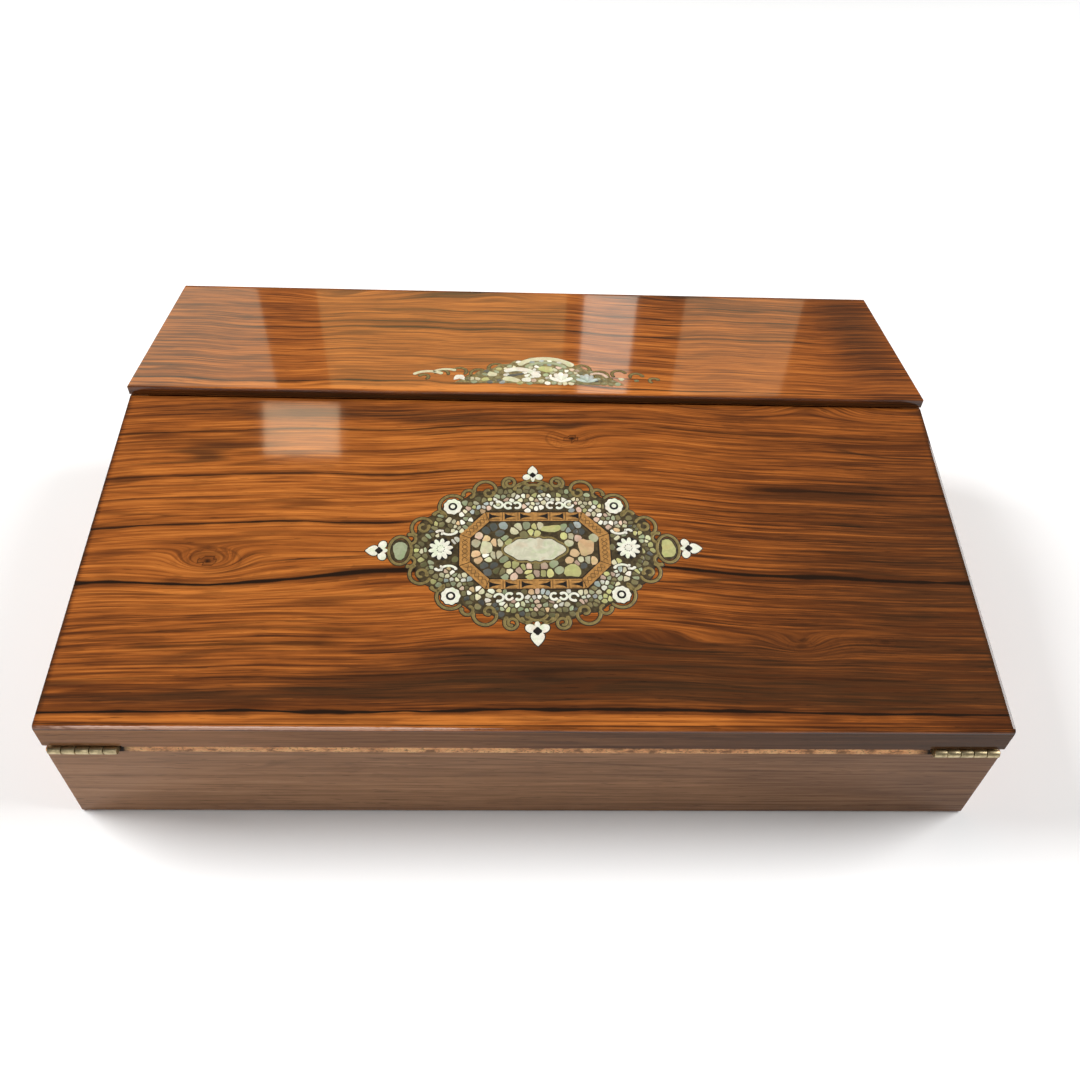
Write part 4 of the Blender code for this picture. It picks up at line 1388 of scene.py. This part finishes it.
def scroll(across, up, radius, start, turns, tighten, stretch=1.0):
    """Points at radius * (1 - tighten * share of the way) from a centre, round by so many turns."""
    share = np.linspace(0, 1, 4 + math.ceil(8 * turns))
    angles = math.radians(start) + 2 * math.pi * turns * share
    reach = radius * (1 - tighten * share)
    return np.stack([across + stretch * reach * np.cos(angles), up + reach * np.sin(angles)], -1)


def strap(lay, points, half, patches, closed=False):
    """A brass ribbon on its dark bed."""
    bulb = 0.0 if closed else 0.4
    patches.append(ribbon(lay, points, half, 0.12, closed, bulb))
    patches.append(ribbon(lay, points, half, 0.03, closed, bulb, grow=0.5, slot=1))


def inside(places, outline):
    """Which places lie in a closed outline, which a line to the right then crosses an odd number of times."""
    x, y = places[:, :1], places[:, 1:]
    (x0, y0), (x1, y1) = outline.T, np.roll(outline, -1, 0).T
    reach = x0 + (y - y0) * (x1 - x0) / np.where(y1 == y0, 1.0, y1 - y0)
    return (((y0 > y) != (y1 > y)) & (x < reach)).sum(1) % 2 == 1


def scattered(outline, cell, seed, taken=(), hole=None):
    """Places for chips: a honeycomb moved about at random, clear of the hole and the circles."""
    random = np.random.default_rng(seed)
    reach = np.abs(outline).max(0) + cell
    rows = np.arange(-reach[1], reach[1], 0.87 * cell)
    columns = np.arange(-reach[0], reach[0], cell)
    across = columns + (np.arange(len(rows)) % 2 * 0.5 * cell)[:, None]
    places = np.stack([across, np.broadcast_to(rows[:, None], across.shape)], -1).reshape(-1, 2)
    places = places + random.uniform(-0.3, 0.3, places.shape) * cell
    clear = inside(places, outline) & (random.random(len(places)) > 0.14)
    if hole is not None:
        clear &= ~inside(places, hole)
    for u, v, radius in taken:
        clear &= np.hypot(places[:, 0] - u, places[:, 1] - v) > radius + 0.22 * cell
    return places[clear]


def cells(places, widest, taken=(), steps=11):
    """An outline about each place, nearer to it than to any other, less half a gap, and no wider than so.

    In the direction a its reach is (|d| / 2 - gap / 2) * |d| / (d . a) towards a neighbour d away, and
    (|d| - r - gap / 2) * |d| / (d . a) towards a circle of radius r.
    """
    angles = np.linspace(0, 2 * math.pi, steps, endpoint=False)
    facing = np.stack([np.cos(angles), np.sin(angles)], -1)
    centres = np.array([*places, *((u, v) for u, v, _ in taken)])
    radii = np.array([0.0] * len(places) + [radius for _, _, radius in taken])
    to = centres[None] - places[:, None]
    far = np.linalg.norm(to, axis=2)
    limit = np.where(np.arange(len(centres)) < len(places), far / 2, far - radii) - CHIP_GAP / 2
    towards = to @ facing.T
    reach = np.where(towards > 1e-6, (limit * far)[..., None] / np.maximum(towards, 1e-6), np.inf).min(1)
    return np.clip(reach, 0.2, widest)[..., None] * facing


def chips_of(lay, places, widest, mix_at, seed, taken=()):
    """Chips of shell that fill the cells round their places, in tints drawn from the mix of each place."""
    random = np.random.default_rng(seed)
    made = []
    for place, outline in zip(places, cells(places, widest, taken)):
        mix = mix_at(*place)
        shares = np.array(list(mix.values()), float)
        name = list(mix)[random.choice(len(mix), p=shares / shares.sum())]
        shade = np.clip([*(random.uniform(0.65, 1.3) * np.array(TINTS[name])), 1.0], 0, 1)
        outline = outline * random.uniform(0.86, 1.0, (len(outline), 1))
        made.append(blob(lay, place, outline, random.uniform(0.11, 0.15), 0.04, tint=shade))
    return made


def large_shells(lay, shells, first=0):
    """Larger chips, each with its own place, size and tint."""
    made = []
    for number, (u, v, half_width, half_height, name) in enumerate(shells, first):
        outline = chip_outline(number, half_width, half_height)
        made.append(blob(lay, (u, v), outline, 0.14, 0.05, tint=(*TINTS[name], 1.0)))
    return made


def circles_along(scrolls, half):
    """Circles along scrolls in all four quarters, which chips keep clear of."""
    points = [point for values in scrolls for point in scroll(*values)]
    return [(across * u, up * v, half) for u, v in points for across, up in QUARTERS]


def circles_of(shells):
    """The circles that larger shells take up."""
    return [(u, v, (half_width + half_height) / 2) for u, v, half_width, half_height, _ in shells]


def outer_mix(u, v):
    """Pale chips next to the octagon and dark ones towards the rim."""
    half_width, half_height, power, *_ = GROUND
    return RIM_MIX if abs(u / half_width) ** power + abs(v / half_height) ** power > RIM_START else OUTER_MIX


def field_mix(u, v):
    """Dark corners, pink and peach ends, and yellow along the top and the bottom."""
    if abs(u) > 13 and abs(v) > 7:
        return CORNER_MIX
    return END_MIX if abs(u) > 14 else LONG_MIX


def half_mix(u, v):
    """Pale chips in the half medallion's middle and dark ones towards its ends."""
    return HALF_MIX if abs(u) < 18 else RIM_MIX


def daisy(lay, centre, radius, parts):
    """A scalloped pearl ring, a black ring and a pearl middle, on a dark bed."""
    parts["ground"].append(blob(lay, centre, lobed(radius + 0.45, 9, 0.05, 36), 0.06, 0.0))
    parts["pearl"].append(blob(lay, centre, lobed(radius, 9, 0.055, 36), 0.15, 0.02))
    parts["ebony"].append(blob(lay, centre, lobed(0.5 * radius, 0, 0, 24), 0.23, 0.0))
    parts["pearl"].append(blob(lay, centre, lobed(0.27 * radius, 0, 0, 16), 0.28, 0.02))


def rosette(lay, centre, radius, parts):
    """Ten pearl petals round a pearl boss, with black dots in the gaps."""
    parts["ebony"].append(blob(lay, centre, lobed(radius * 0.96, 10, 0.06, 40), 0.09, 0.0))
    for index in range(10):
        angle = math.radians(36 * index + 10)
        away = np.array([math.cos(angle), math.sin(angle)])
        petal = lobed(0.185 * radius, 0, 0, 12, angle, 1.9)
        parts["pearl"].append(blob(lay, np.add(centre, 0.62 * radius * away), petal, 0.15, 0.02))
        between = np.array([math.cos(angle + 0.314), math.sin(angle + 0.314)])
        if index % 2:
            dot = np.add(centre, 0.93 * radius * between)
            parts["ebony"].append(blob(lay, dot, lobed(0.5, 0, 0, 10), 0.21, 0.0))
    parts["pearl"].append(blob(lay, centre, lobed(0.27 * radius, 6, 0.08, 18), 0.21, 0.02))


def teardrop(half_length, half_width, turn=0.0, steps=20):
    """A pointed outline: half length * cos(a) across, 1.3 * half width * sin(a) * |sin(a / 2)| up."""
    angles = np.linspace(0, 2 * math.pi, steps, endpoint=False)
    across, up = half_length * np.cos(angles), half_width * np.sin(angles) * np.abs(np.sin(angles / 2)) * 1.3
    return rotated(across, up, turn)


def trefoil(lay, tip, lobes, dot, base, parts):
    """Three pearl leaves and a stem round a black lozenge, on a dark bed."""
    tip, dot, base = (np.asarray(place, float) for place in (tip, dot, base))
    along = (tip - base) / np.linalg.norm(tip - base)
    turn = math.atan2(along[1], along[0])
    reach = np.linalg.norm(tip - dot)
    leaf = teardrop(0.50 * reach, 0.44 * reach, turn)
    middle = dot + along * 0.52 * reach
    parts["ground"].append(blob(lay, middle, 1.16 * leaf, 0.05, 0.0))
    parts["pearl"].append(blob(lay, middle, leaf, 0.15, 0.03))
    for lobe in lobes:
        away = np.subtract(lobe, dot)
        small_leaf = lobed(0.30 * reach, 0, 0, 16, math.atan2(away[1], away[0]), 1.2)
        parts["ground"].append(blob(lay, lobe, 1.2 * small_leaf, 0.05, 0.0))
        parts["pearl"].append(blob(lay, lobe, small_leaf, 0.15, 0.03))
    stem = lobed(0.20 * reach, 0, 0, 14, turn, 1.8)
    parts["pearl"].append(blob(lay, (dot + base) / 2, stem, 0.14, 0.02))
    parts["ebony"].append(blob(lay, dot, lobed(0.26 * reach, 4, 0.15, 16, turn), 0.23, 0.0))


def make_straps():
    """The medallion's ground, brass scrolls, loops and the plaque's rim."""
    lay, m = on_medallion, materials()
    ground = scalloped(*GROUND)
    straps = [plate(lay, ground, 0.045, 0.03, slot=2)]
    straps.append(plate(lay, 1.012 * ground, 0.02, 0.01, slot=1))
    for values in STRAP_SCROLLS:
        for across, up in QUARTERS:
            strap(lay, mirrored(scroll(*values), across, up), STRAP_HALF, straps)
    u, v, radius, height = LOOP
    for across in (-1, 1):
        loop = lobed(radius, 0, 0, 24) * (1, height)
        strap(lay, loop[::2] + (across * u, v), STRAP_HALF, straps, True)
        straps.append(blob(lay, (across * u, v), 0.86 * loop, 0.04, 0.0, slot=2))
        for arch_radius in ARCH_RADII:
            arch = scroll(0, across * ARCH_UP, arch_radius, across * 90 - 60, 1 / 3, 0.0)
            strap(lay, arch, STRAP_HALF, straps)
    rim = scalloped(*PLAQUE, steps=96)
    straps.append(plate(lay, rim + 1.15 * outline_normals(rim), 0.12, slot=0))
    straps.append(plate(lay, rim + 0.28 * outline_normals(rim), 0.135, 0.01, slot=1))
    pieces = (m["strap"], m["dark"], m["ground"])
    make_piece("lid_inlay_straps", straps, pieces, "lid", ("lid_inlay_border",))
    plaque = [plate(lay, rim, 0.15)]
    make_piece("lid_inlay_plaque_shell", plaque, (m["plaque"],), "lid", ("lid_inlay_plaque",))


def bar(width, height, u, v):
    """The corners of a small upright rectangle about a place."""
    return np.array([(-width, -height), (width, -height), (width, height), (-width, height)]) / 2 + (u, v)


def make_octagon():
    """The coppery octagon: bands with a lattice on them, and arrowheads in compartments above and below."""
    lay, m = on_medallion, materials()
    outer, inner = octagon(), octagon(OCTAGON_BAND)
    banding = []
    for index in range(8):
        following = (index + 1) % 8
        segment = np.array([outer[index], outer[following], inner[following], inner[index]])
        banding.append(plate(lay, segment - 0.12 * outline_normals(segment), 0.11))
        banding.append(plate(lay, segment + 0.5 * outline_normals(segment), 0.075, slot=3))
        # The arrowheads lie on the top and the bottom band instead.
        if index in (1, 5):
            continue
        start, end = (outer[index] + inner[index]) / 2, (outer[following] + inner[following]) / 2
        length = np.linalg.norm(end - start)
        along = (end - start) / length
        side = np.array([along[1], -along[0]])
        share = np.linspace(0.1, 0.9, 15)[:, None]
        for sign in (-1, 1):
            wave = sign * LATTICE_SWING * np.sin(share * length * LATTICE_PACE)
            banding.append(ribbon(lay, start + share * (end - start) + wave * side, 0.2, 0.135, slot=1))
    arrow = np.array([(-2.3, -1.5), (-0.9, -0.7), (2.6, 0.0), (-0.9, 0.7), (-2.3, 1.5)])
    for level in (-ARROW_LEVEL, ARROW_LEVEL):
        for place, facing in [(s * u, -s) for u in ARROWS for s in (-1, 1)]:
            banding.append(plate(lay, arrow * (facing, 1) + (place, level), 0.15, 0.02, slot=2))
            for over in (-1.7, 1.7):
                banding.append(plate(lay, bar(4.6, 0.36, place, level + over), 0.135, 0.02, slot=1))
            post = bar(0.4, 3.8, place - 3.2 * facing, level)
            banding.append(plate(lay, post, 0.135, 0.02, slot=1))
    pieces = (m["banding"], m["banding_line"], m["ebony"], m["dark"])
    make_piece("lid_inlay_octagon", banding, pieces, "lid", ("lid_inlay_frame",))


def make_chips():
    """The shell mosaic inside the octagon and round it."""
    lay, m = on_medallion, materials()
    taken = [(s * u, t * v, radius + 0.3) for u, v, radius in (DAISY, ROSETTE) for s, t in QUARTERS]
    taken += circles_along(STRAP_SCROLLS, STRAP_HALF) + circles_along(PEARL_SCROLLS, PEARL_HALF)
    places = scattered(0.95 * scalloped(*GROUND), OUTER_CELL, 3, taken, octagon(-0.9))
    chips = chips_of(lay, places, 0.72 * OUTER_CELL, outer_mix, 4, taken)
    taken = circles_of(FIELD_SHELLS)
    places = scattered(octagon(OCTAGON_BAND + 1.1), FIELD_CELL, 5, taken, 1.2 * scalloped(*PLAQUE))
    chips += chips_of(lay, places, 0.7 * FIELD_CELL, field_mix, 6, taken)
    chips += large_shells(lay, LOOP_SHELLS) + large_shells(lay, FIELD_SHELLS, 3)
    make_piece("lid_inlay_chips", chips, (m["chips"],), "lid", ("lid_inlay_field",))


def make_flowers():
    """Daisies, rosettes and pearl scrolls, and the four trefoils at the medallion's tips."""
    lay = on_medallion
    parts = {"pearl": [], "ebony": [], "ground": []}
    for across, up in QUARTERS:
        daisy(lay, (across * DAISY[0], up * DAISY[1]), DAISY[2], parts)
        for values in PEARL_SCROLLS:
            points = mirrored(scroll(*values), across, up)
            parts["pearl"].append(ribbon(lay, points, PEARL_HALF, 0.16, bulb=0.3))
            parts["ground"].append(ribbon(lay, points, PEARL_HALF, 0.07, bulb=0.3, grow=0.3))
    for across in (-1, 1):
        rosette(lay, (across * ROSETTE[0], ROSETTE[1]), ROSETTE[2], parts)
    make_pearls("lid_inlay_flowers", parts, "lid")
    # Name, direction in degrees, and the distances of the tip, the side leaves, the dot and the base.
    for name, direction, tip, leaves, dot, base in (
        ("right", 0, 69.0, 62.2, 63.5, 60.4),
        ("top", 90, 41.8, 36.0, 37.0, 33.6),
        ("left", 180, 69.0, 62.2, 63.5, 60.4),
        ("bottom", 270, 42.8, 35.4, 36.6, 32.6),
    ):
        away = np.array([math.cos(math.radians(direction)), math.sin(math.radians(direction))])
        side = 2.6 * np.array([-away[1], away[0]])
        parts = {"pearl": [], "ebony": [], "ground": []}
        trefoil(lay, tip * away, (leaves * away + side, leaves * away - side), dot * away, base * away, parts)
        make_pearls(f"lid_inlay_trefoil_{name}_pearl", parts, "lid", (f"lid_inlay_trefoil_{name}",))


def make_medallion():
    """The medallion on the slope."""
    make_straps()
    make_octagon()
    make_chips()
    make_flowers()


# The half medallion, in millimetres from the middle of the line that it stands on.
HALF_GROUND = (38, 23, 1.25, 18, 0.03)
HALF_CELL = 2.6
HALF_STRAPS = (
    (37, 9, 3.6, 20, 0.55, 0.2),
    (45, 7, 3.4, 10, 0.50, 0.2),
    (53, 4, 2.6, 20, 0.60, 0.4),
    (28, 8, 4.2, -40, 0.75, 0.4),
    (27, 6, 2.0, 100, 0.90, 0.5),
    (20, 13, 3.8, -20, 0.60, 0.2),
    (31, 4, 2.4, 0, 0.50, 0.1),
)
HALF_STRAP_HALF = 0.5
# Broad shell ribbons: (half width, tint), then the values of a scroll and its stretch across.
HALF_RIBBONS = (
    (1.5, "cream", (3, 9, 12.5, 30, 0.33, 0.0, 1.2)),
    (1.1, "green", (3, 9, 9.2, 30, 0.33, 0.0, 1.2)),
    (1.6, "pearl", (-10, 3, 9.0, 15, 0.32, 0.0, 1.1)),
    (0.9, "cream", (-51, 1, 8.0, 50, 0.25, 0.0, 1.2)),
    (0.8, "cream", (-43, 4, 7.0, 60, 0.22, 0.0, 1.2)),
    (0.8, "pink", (27, 5, 4.6, 10, 0.35, 0.0, 1.0)),
)
HALF_SHELLS = (
    (3, 12.5, 3.6, 2.4, "yellow"),
    (-11, 7.4, 4.4, 0.9, "slate"),
    (-13, 3.4, 4.2, 1.9, "cream"),
    (-6, 3.4, 2.2, 1.8, "pearl"),
    (-22, 7.5, 2.2, 1.8, "cream"),
    (-25, 3.2, 1.8, 1.4, "yellow"),
    (38, 5, 1.3, 1.2, "cream"),
    (45, 4, 1.1, 0.9, "olive"),
)
HALF_FANS = ((10, 2, 5, 9, "pearl"), (22, 2, 5, 7.6, "blue"))  # across, up, half width, height, tint
HALF_HEART = (-37, 4.2)


def half_fill(lay, m):
    """The half medallion's ground and straps, and the chips that go between its larger pieces."""
    outline = scalloped(*HALF_GROUND)
    half = np.concatenate([outline[outline[:, 1] >= 0], [(-HALF_GROUND[0], 0.2)]])
    straps = [plate(lay, half, 0.045, 0.03, slot=2)]
    for values in HALF_STRAPS:
        for across in (-1, 1):
            strap(lay, mirrored(scroll(*values), across), HALF_STRAP_HALF, straps)
    pieces = (m["strap"], m["half_dark"], m["half_ground"])
    make_piece("flap_inlay_straps", straps, pieces, "case", ("flap_inlay_border",))
    taken = circles_of(HALF_SHELLS)
    taken += [(u, v + 0.45 * height, 0.45 * height) for u, v, _, height, _ in HALF_FANS]
    for half_width, _, values in HALF_RIBBONS:
        taken += [(u, v, half_width) for u, v in scroll(*values)]
    places = scattered(0.93 * half + (0, 0.6), HALF_CELL, 8, taken)
    return chips_of(lay, places, 0.65 * HALF_CELL, half_mix, 9, taken)


def make_half_medallion():
    """The flap's half medallion: ground, straps, small chips, broad ribbons, two fans and a heart."""
    lay, m = on_half_medallion, materials()
    shells = half_fill(lay, m) + large_shells(lay, HALF_SHELLS, 20)
    for half_width, name, values in HALF_RIBBONS:
        tint = (*TINTS[name], 1.0)
        shells.append(ribbon(lay, scroll(*values), half_width, 0.15, bulb=0.2, tint=tint))
    for u, v, half_width, height, name in HALF_FANS:
        for index, angle in enumerate(np.radians(np.linspace(20, 160, 5))):
            middle = (u + 0.5 * half_width * math.cos(angle), v + 0.5 * height * math.sin(angle))
            turn = math.atan2(height * math.sin(angle), half_width * math.cos(angle))
            petal = teardrop(0.40 * height, 0.26 * half_width, turn + math.pi, 16)
            shade = (*((1.2 - 0.25 * (index % 2)) * np.array(TINTS[name])), 1.0)
            shells.append(blob(lay, middle, petal, 0.16, 0.03, tint=np.clip(shade, 0, 1)))
    for side in (-1, 1):
        u, v = HALF_HEART
        lobe = teardrop(2.4, 1.5, math.pi / 2 + side * 0.6 + math.pi, 16)
        shells.append(blob(lay, (u + 1.1 * side, v), lobe, 0.16, 0.03, tint=(*TINTS["pearl"], 1.0)))
    make_piece("flap_inlay_shells", shells, (m["chips"],), "case", ("flap_inlay_shell",))


def make_pearls(name, parts, body, replaced=()):
    """One piece of pearl, ebony and dark ground."""
    m = materials()
    patches = []
    for slot, kind in enumerate(("pearl", "ebony", "ground")):
        for part in parts[kind]:
            part["slot"] = slot
            patches.append(part)
    make_piece(name, patches, (m["pearl"], m["ebony"], m["dark"]), body, replaced)


# ---------------------------------------------------------------------------------------------------------
# Stage


def make_floor():
    """A wide flat floor, a hair under the box."""
    width = bpy.context.scene.slope_stage.floor_width
    count, drop = 9, 0.3 * MM
    steps = np.linspace(-width / 2, width / 2, count)
    x, y = np.meshgrid(steps, steps)
    points = np.stack([x, y, np.full_like(x, -drop)], -1)
    mesh = bpy.data.meshes.new("floor")
    mesh.from_pydata(points.reshape(-1, 3).tolist(), [], quads(count, count).tolist())
    floor = bpy.data.objects.new("floor", mesh)
    bpy.context.scene.collection.objects.link(floor)
    n = Nodes("floor")
    mesh.materials.append(n.finish(base_color=finishes().floor, roughness=0.75))


def soft_light(name, place, target, width, height, radiance, tint=(1, 1, 1), mirrored=True):
    """A soft box: an area light of an even brightness that faces a point, seen in polish or not."""
    data = bpy.data.lights.new(name, "AREA")
    data.shape = "RECTANGLE"
    data.size, data.size_y = width, height
    data.energy = radiance * math.pi * width * height
    data.color = tint
    light = bpy.data.objects.new(name, data)
    bpy.context.scene.collection.objects.link(light)
    aim = np.subtract(target, place)
    pitch = math.atan2(math.hypot(aim[0], aim[1]), -aim[2])
    light.location = place
    light.rotation_euler = (pitch, 0, math.atan2(-aim[0], aim[1]))
    light.visible_camera = False
    light.visible_glossy = mirrored


def make_camera():
    """The camera, from the stage's settings."""
    scene = bpy.context.scene
    stage = scene.slope_stage
    data = bpy.data.cameras.new("camera")
    data.lens = stage.focal_length
    data.sensor_width = 36
    data.shift_x, data.shift_y = stage.camera_shift
    data.clip_start = 0.01
    data.clip_end = 50
    camera = bpy.data.objects.new("camera", data)
    scene.collection.objects.link(camera)
    camera.location = stage.camera_place
    camera.rotation_euler = stage.camera_turn
    scene.camera = camera


def make_world():
    """A faint even light from all round."""
    world = bpy.data.worlds.new("world")
    bpy.context.scene.world = world
    world.use_nodes = True
    background = world.node_tree.nodes["Background"]
    background.inputs["Color"].default_value = (1, 1, 1, 1)
    background.inputs["Strength"].default_value = 0.10


def make_lights():
    """Key, fill and front strip, a small lamp, and the panels that polish mirrors."""
    middle = (0, 0, 0.05)
    # Polish and brass mirror a dim twin of the key, whose own image would hide the inlay from the side.
    key = ((-1.9, 0.55, 1.7), middle, 1.2, 1.2)
    soft_light("key", *key, 15.2, mirrored=False)
    soft_light("key_image", *key, 1.8)
    soft_light("fill", (2.3, 0.3, 1.9), middle, 1.6, 1.6, 10.4)
    soft_light("strip", (-0.5, -1.6, 1.0), (-0.2, 0, 0.05), 1.0, 0.3, 6)
    # Nearly overhead, where the slope mirrors it.
    soft_light("lamp", (-0.475, 0.606, 1.6), (-0.475, 0, 0.1), 0.17, 0.115, 6.4, (1.0, 0.76, 0.5))
    # Tall panels far behind, which the flap's polish mirrors: (from, to, brightness, tint) along X.
    behind, level, height = 1.5, 1.0, 0.5
    for start, end, radiance, tint in (
        (-1.30, -0.57, 1.2, (1.0, 0.95, 0.7)),
        (-0.44, 0.12, 0.9, (1.0, 0.72, 0.3)),
        (0.16, 0.28, 2.4, (1.0, 0.95, 0.8)),
        (0.39, 0.66, 1.0, (1.0, 0.75, 0.45)),
    ):
        x = (start + end) / 2
        soft_light("panel", (x, behind, level), (x, 0, level), end - start, height, radiance, tint)


def make_stage():
    """Floor, camera, world and lights."""
    make_floor()
    make_camera()
    make_world()
    make_lights()
    settings = bpy.context.scene.view_settings
    settings.view_transform = "Standard"
    settings.look = "None"


# ---------------------------------------------------------------------------------------------------------
# Add-on


def builder(identifier, title, text, make):
    """An operator class that runs one maker."""

    def execute(self, context):
        make()
        return {"FINISHED"}

    return type(
        "SLOPE_OT_" + identifier,
        (bpy.types.Operator,),
        {"bl_idname": "slope." + identifier, "bl_label": title, "__doc__": text, "execute": execute},
    )


OPERATORS = (
    builder("case", "Make Case", "Makes the case's boards and its bottom", make_case),
    builder("lid", "Make Lid", "Makes the slope lid's board", make_lid),
    builder("flap", "Make Flap", "Makes the flap's board", make_flap),
    builder("medallion", "Make Medallion", "Makes the lid's inlay", make_medallion),
    builder("half_medallion", "Make Half Medallion", "Makes the flap's inlay", make_half_medallion),
    builder("hinges", "Make Hinges", "Makes both hinges' leaves and pins", make_hinges),
    builder("stage", "Make Stage", "Makes the floor, lights and camera", make_stage),
)


class SLOPE_PT_panel(bpy.types.Panel):
    """Lists the writing slope's operators and settings."""

    bl_idname = "SLOPE_PT_panel"
    bl_label = "Writing Slope"
    bl_space_type = "VIEW_3D"
    bl_region_type = "UI"
    bl_category = "Writing Slope"

    def draw(self, context):
        for operator in OPERATORS:
            self.layout.operator(operator.bl_idname)
        for name, group in GROUPS:
            for field in group.__annotations__:
                self.layout.prop(getattr(context.scene, name), field)


GROUPS = (
    ("slope_sizes", BoxSizes),
    ("slope_places", InlayPlaces),
    ("slope_finishes", Finishes),
    ("slope_stage", StageSettings),
)


def register():
    """Registers the settings, operators and panel."""
    for name, group in GROUPS:
        bpy.utils.register_class(group)
        setattr(bpy.types.Scene, name, bpy.props.PointerProperty(type=group))
    for operator in OPERATORS:
        bpy.utils.register_class(operator)
    bpy.utils.register_class(SLOPE_PT_panel)


def unregister():
    """Takes them away again, last one first."""
    bpy.utils.unregister_class(SLOPE_PT_panel)
    for operator in reversed(OPERATORS):
        bpy.utils.unregister_class(operator)
    for name, group in reversed(GROUPS):
        delattr(bpy.types.Scene, name)
        bpy.utils.unregister_class(group)


def main():
    """Makes every piece and the stage, and writes both boxes."""
    register()
    for operator in OPERATORS:
        getattr(bpy.ops.slope, operator.bl_idname.split(".")[1])()
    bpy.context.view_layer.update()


if __name__ == "__main__":
    main()
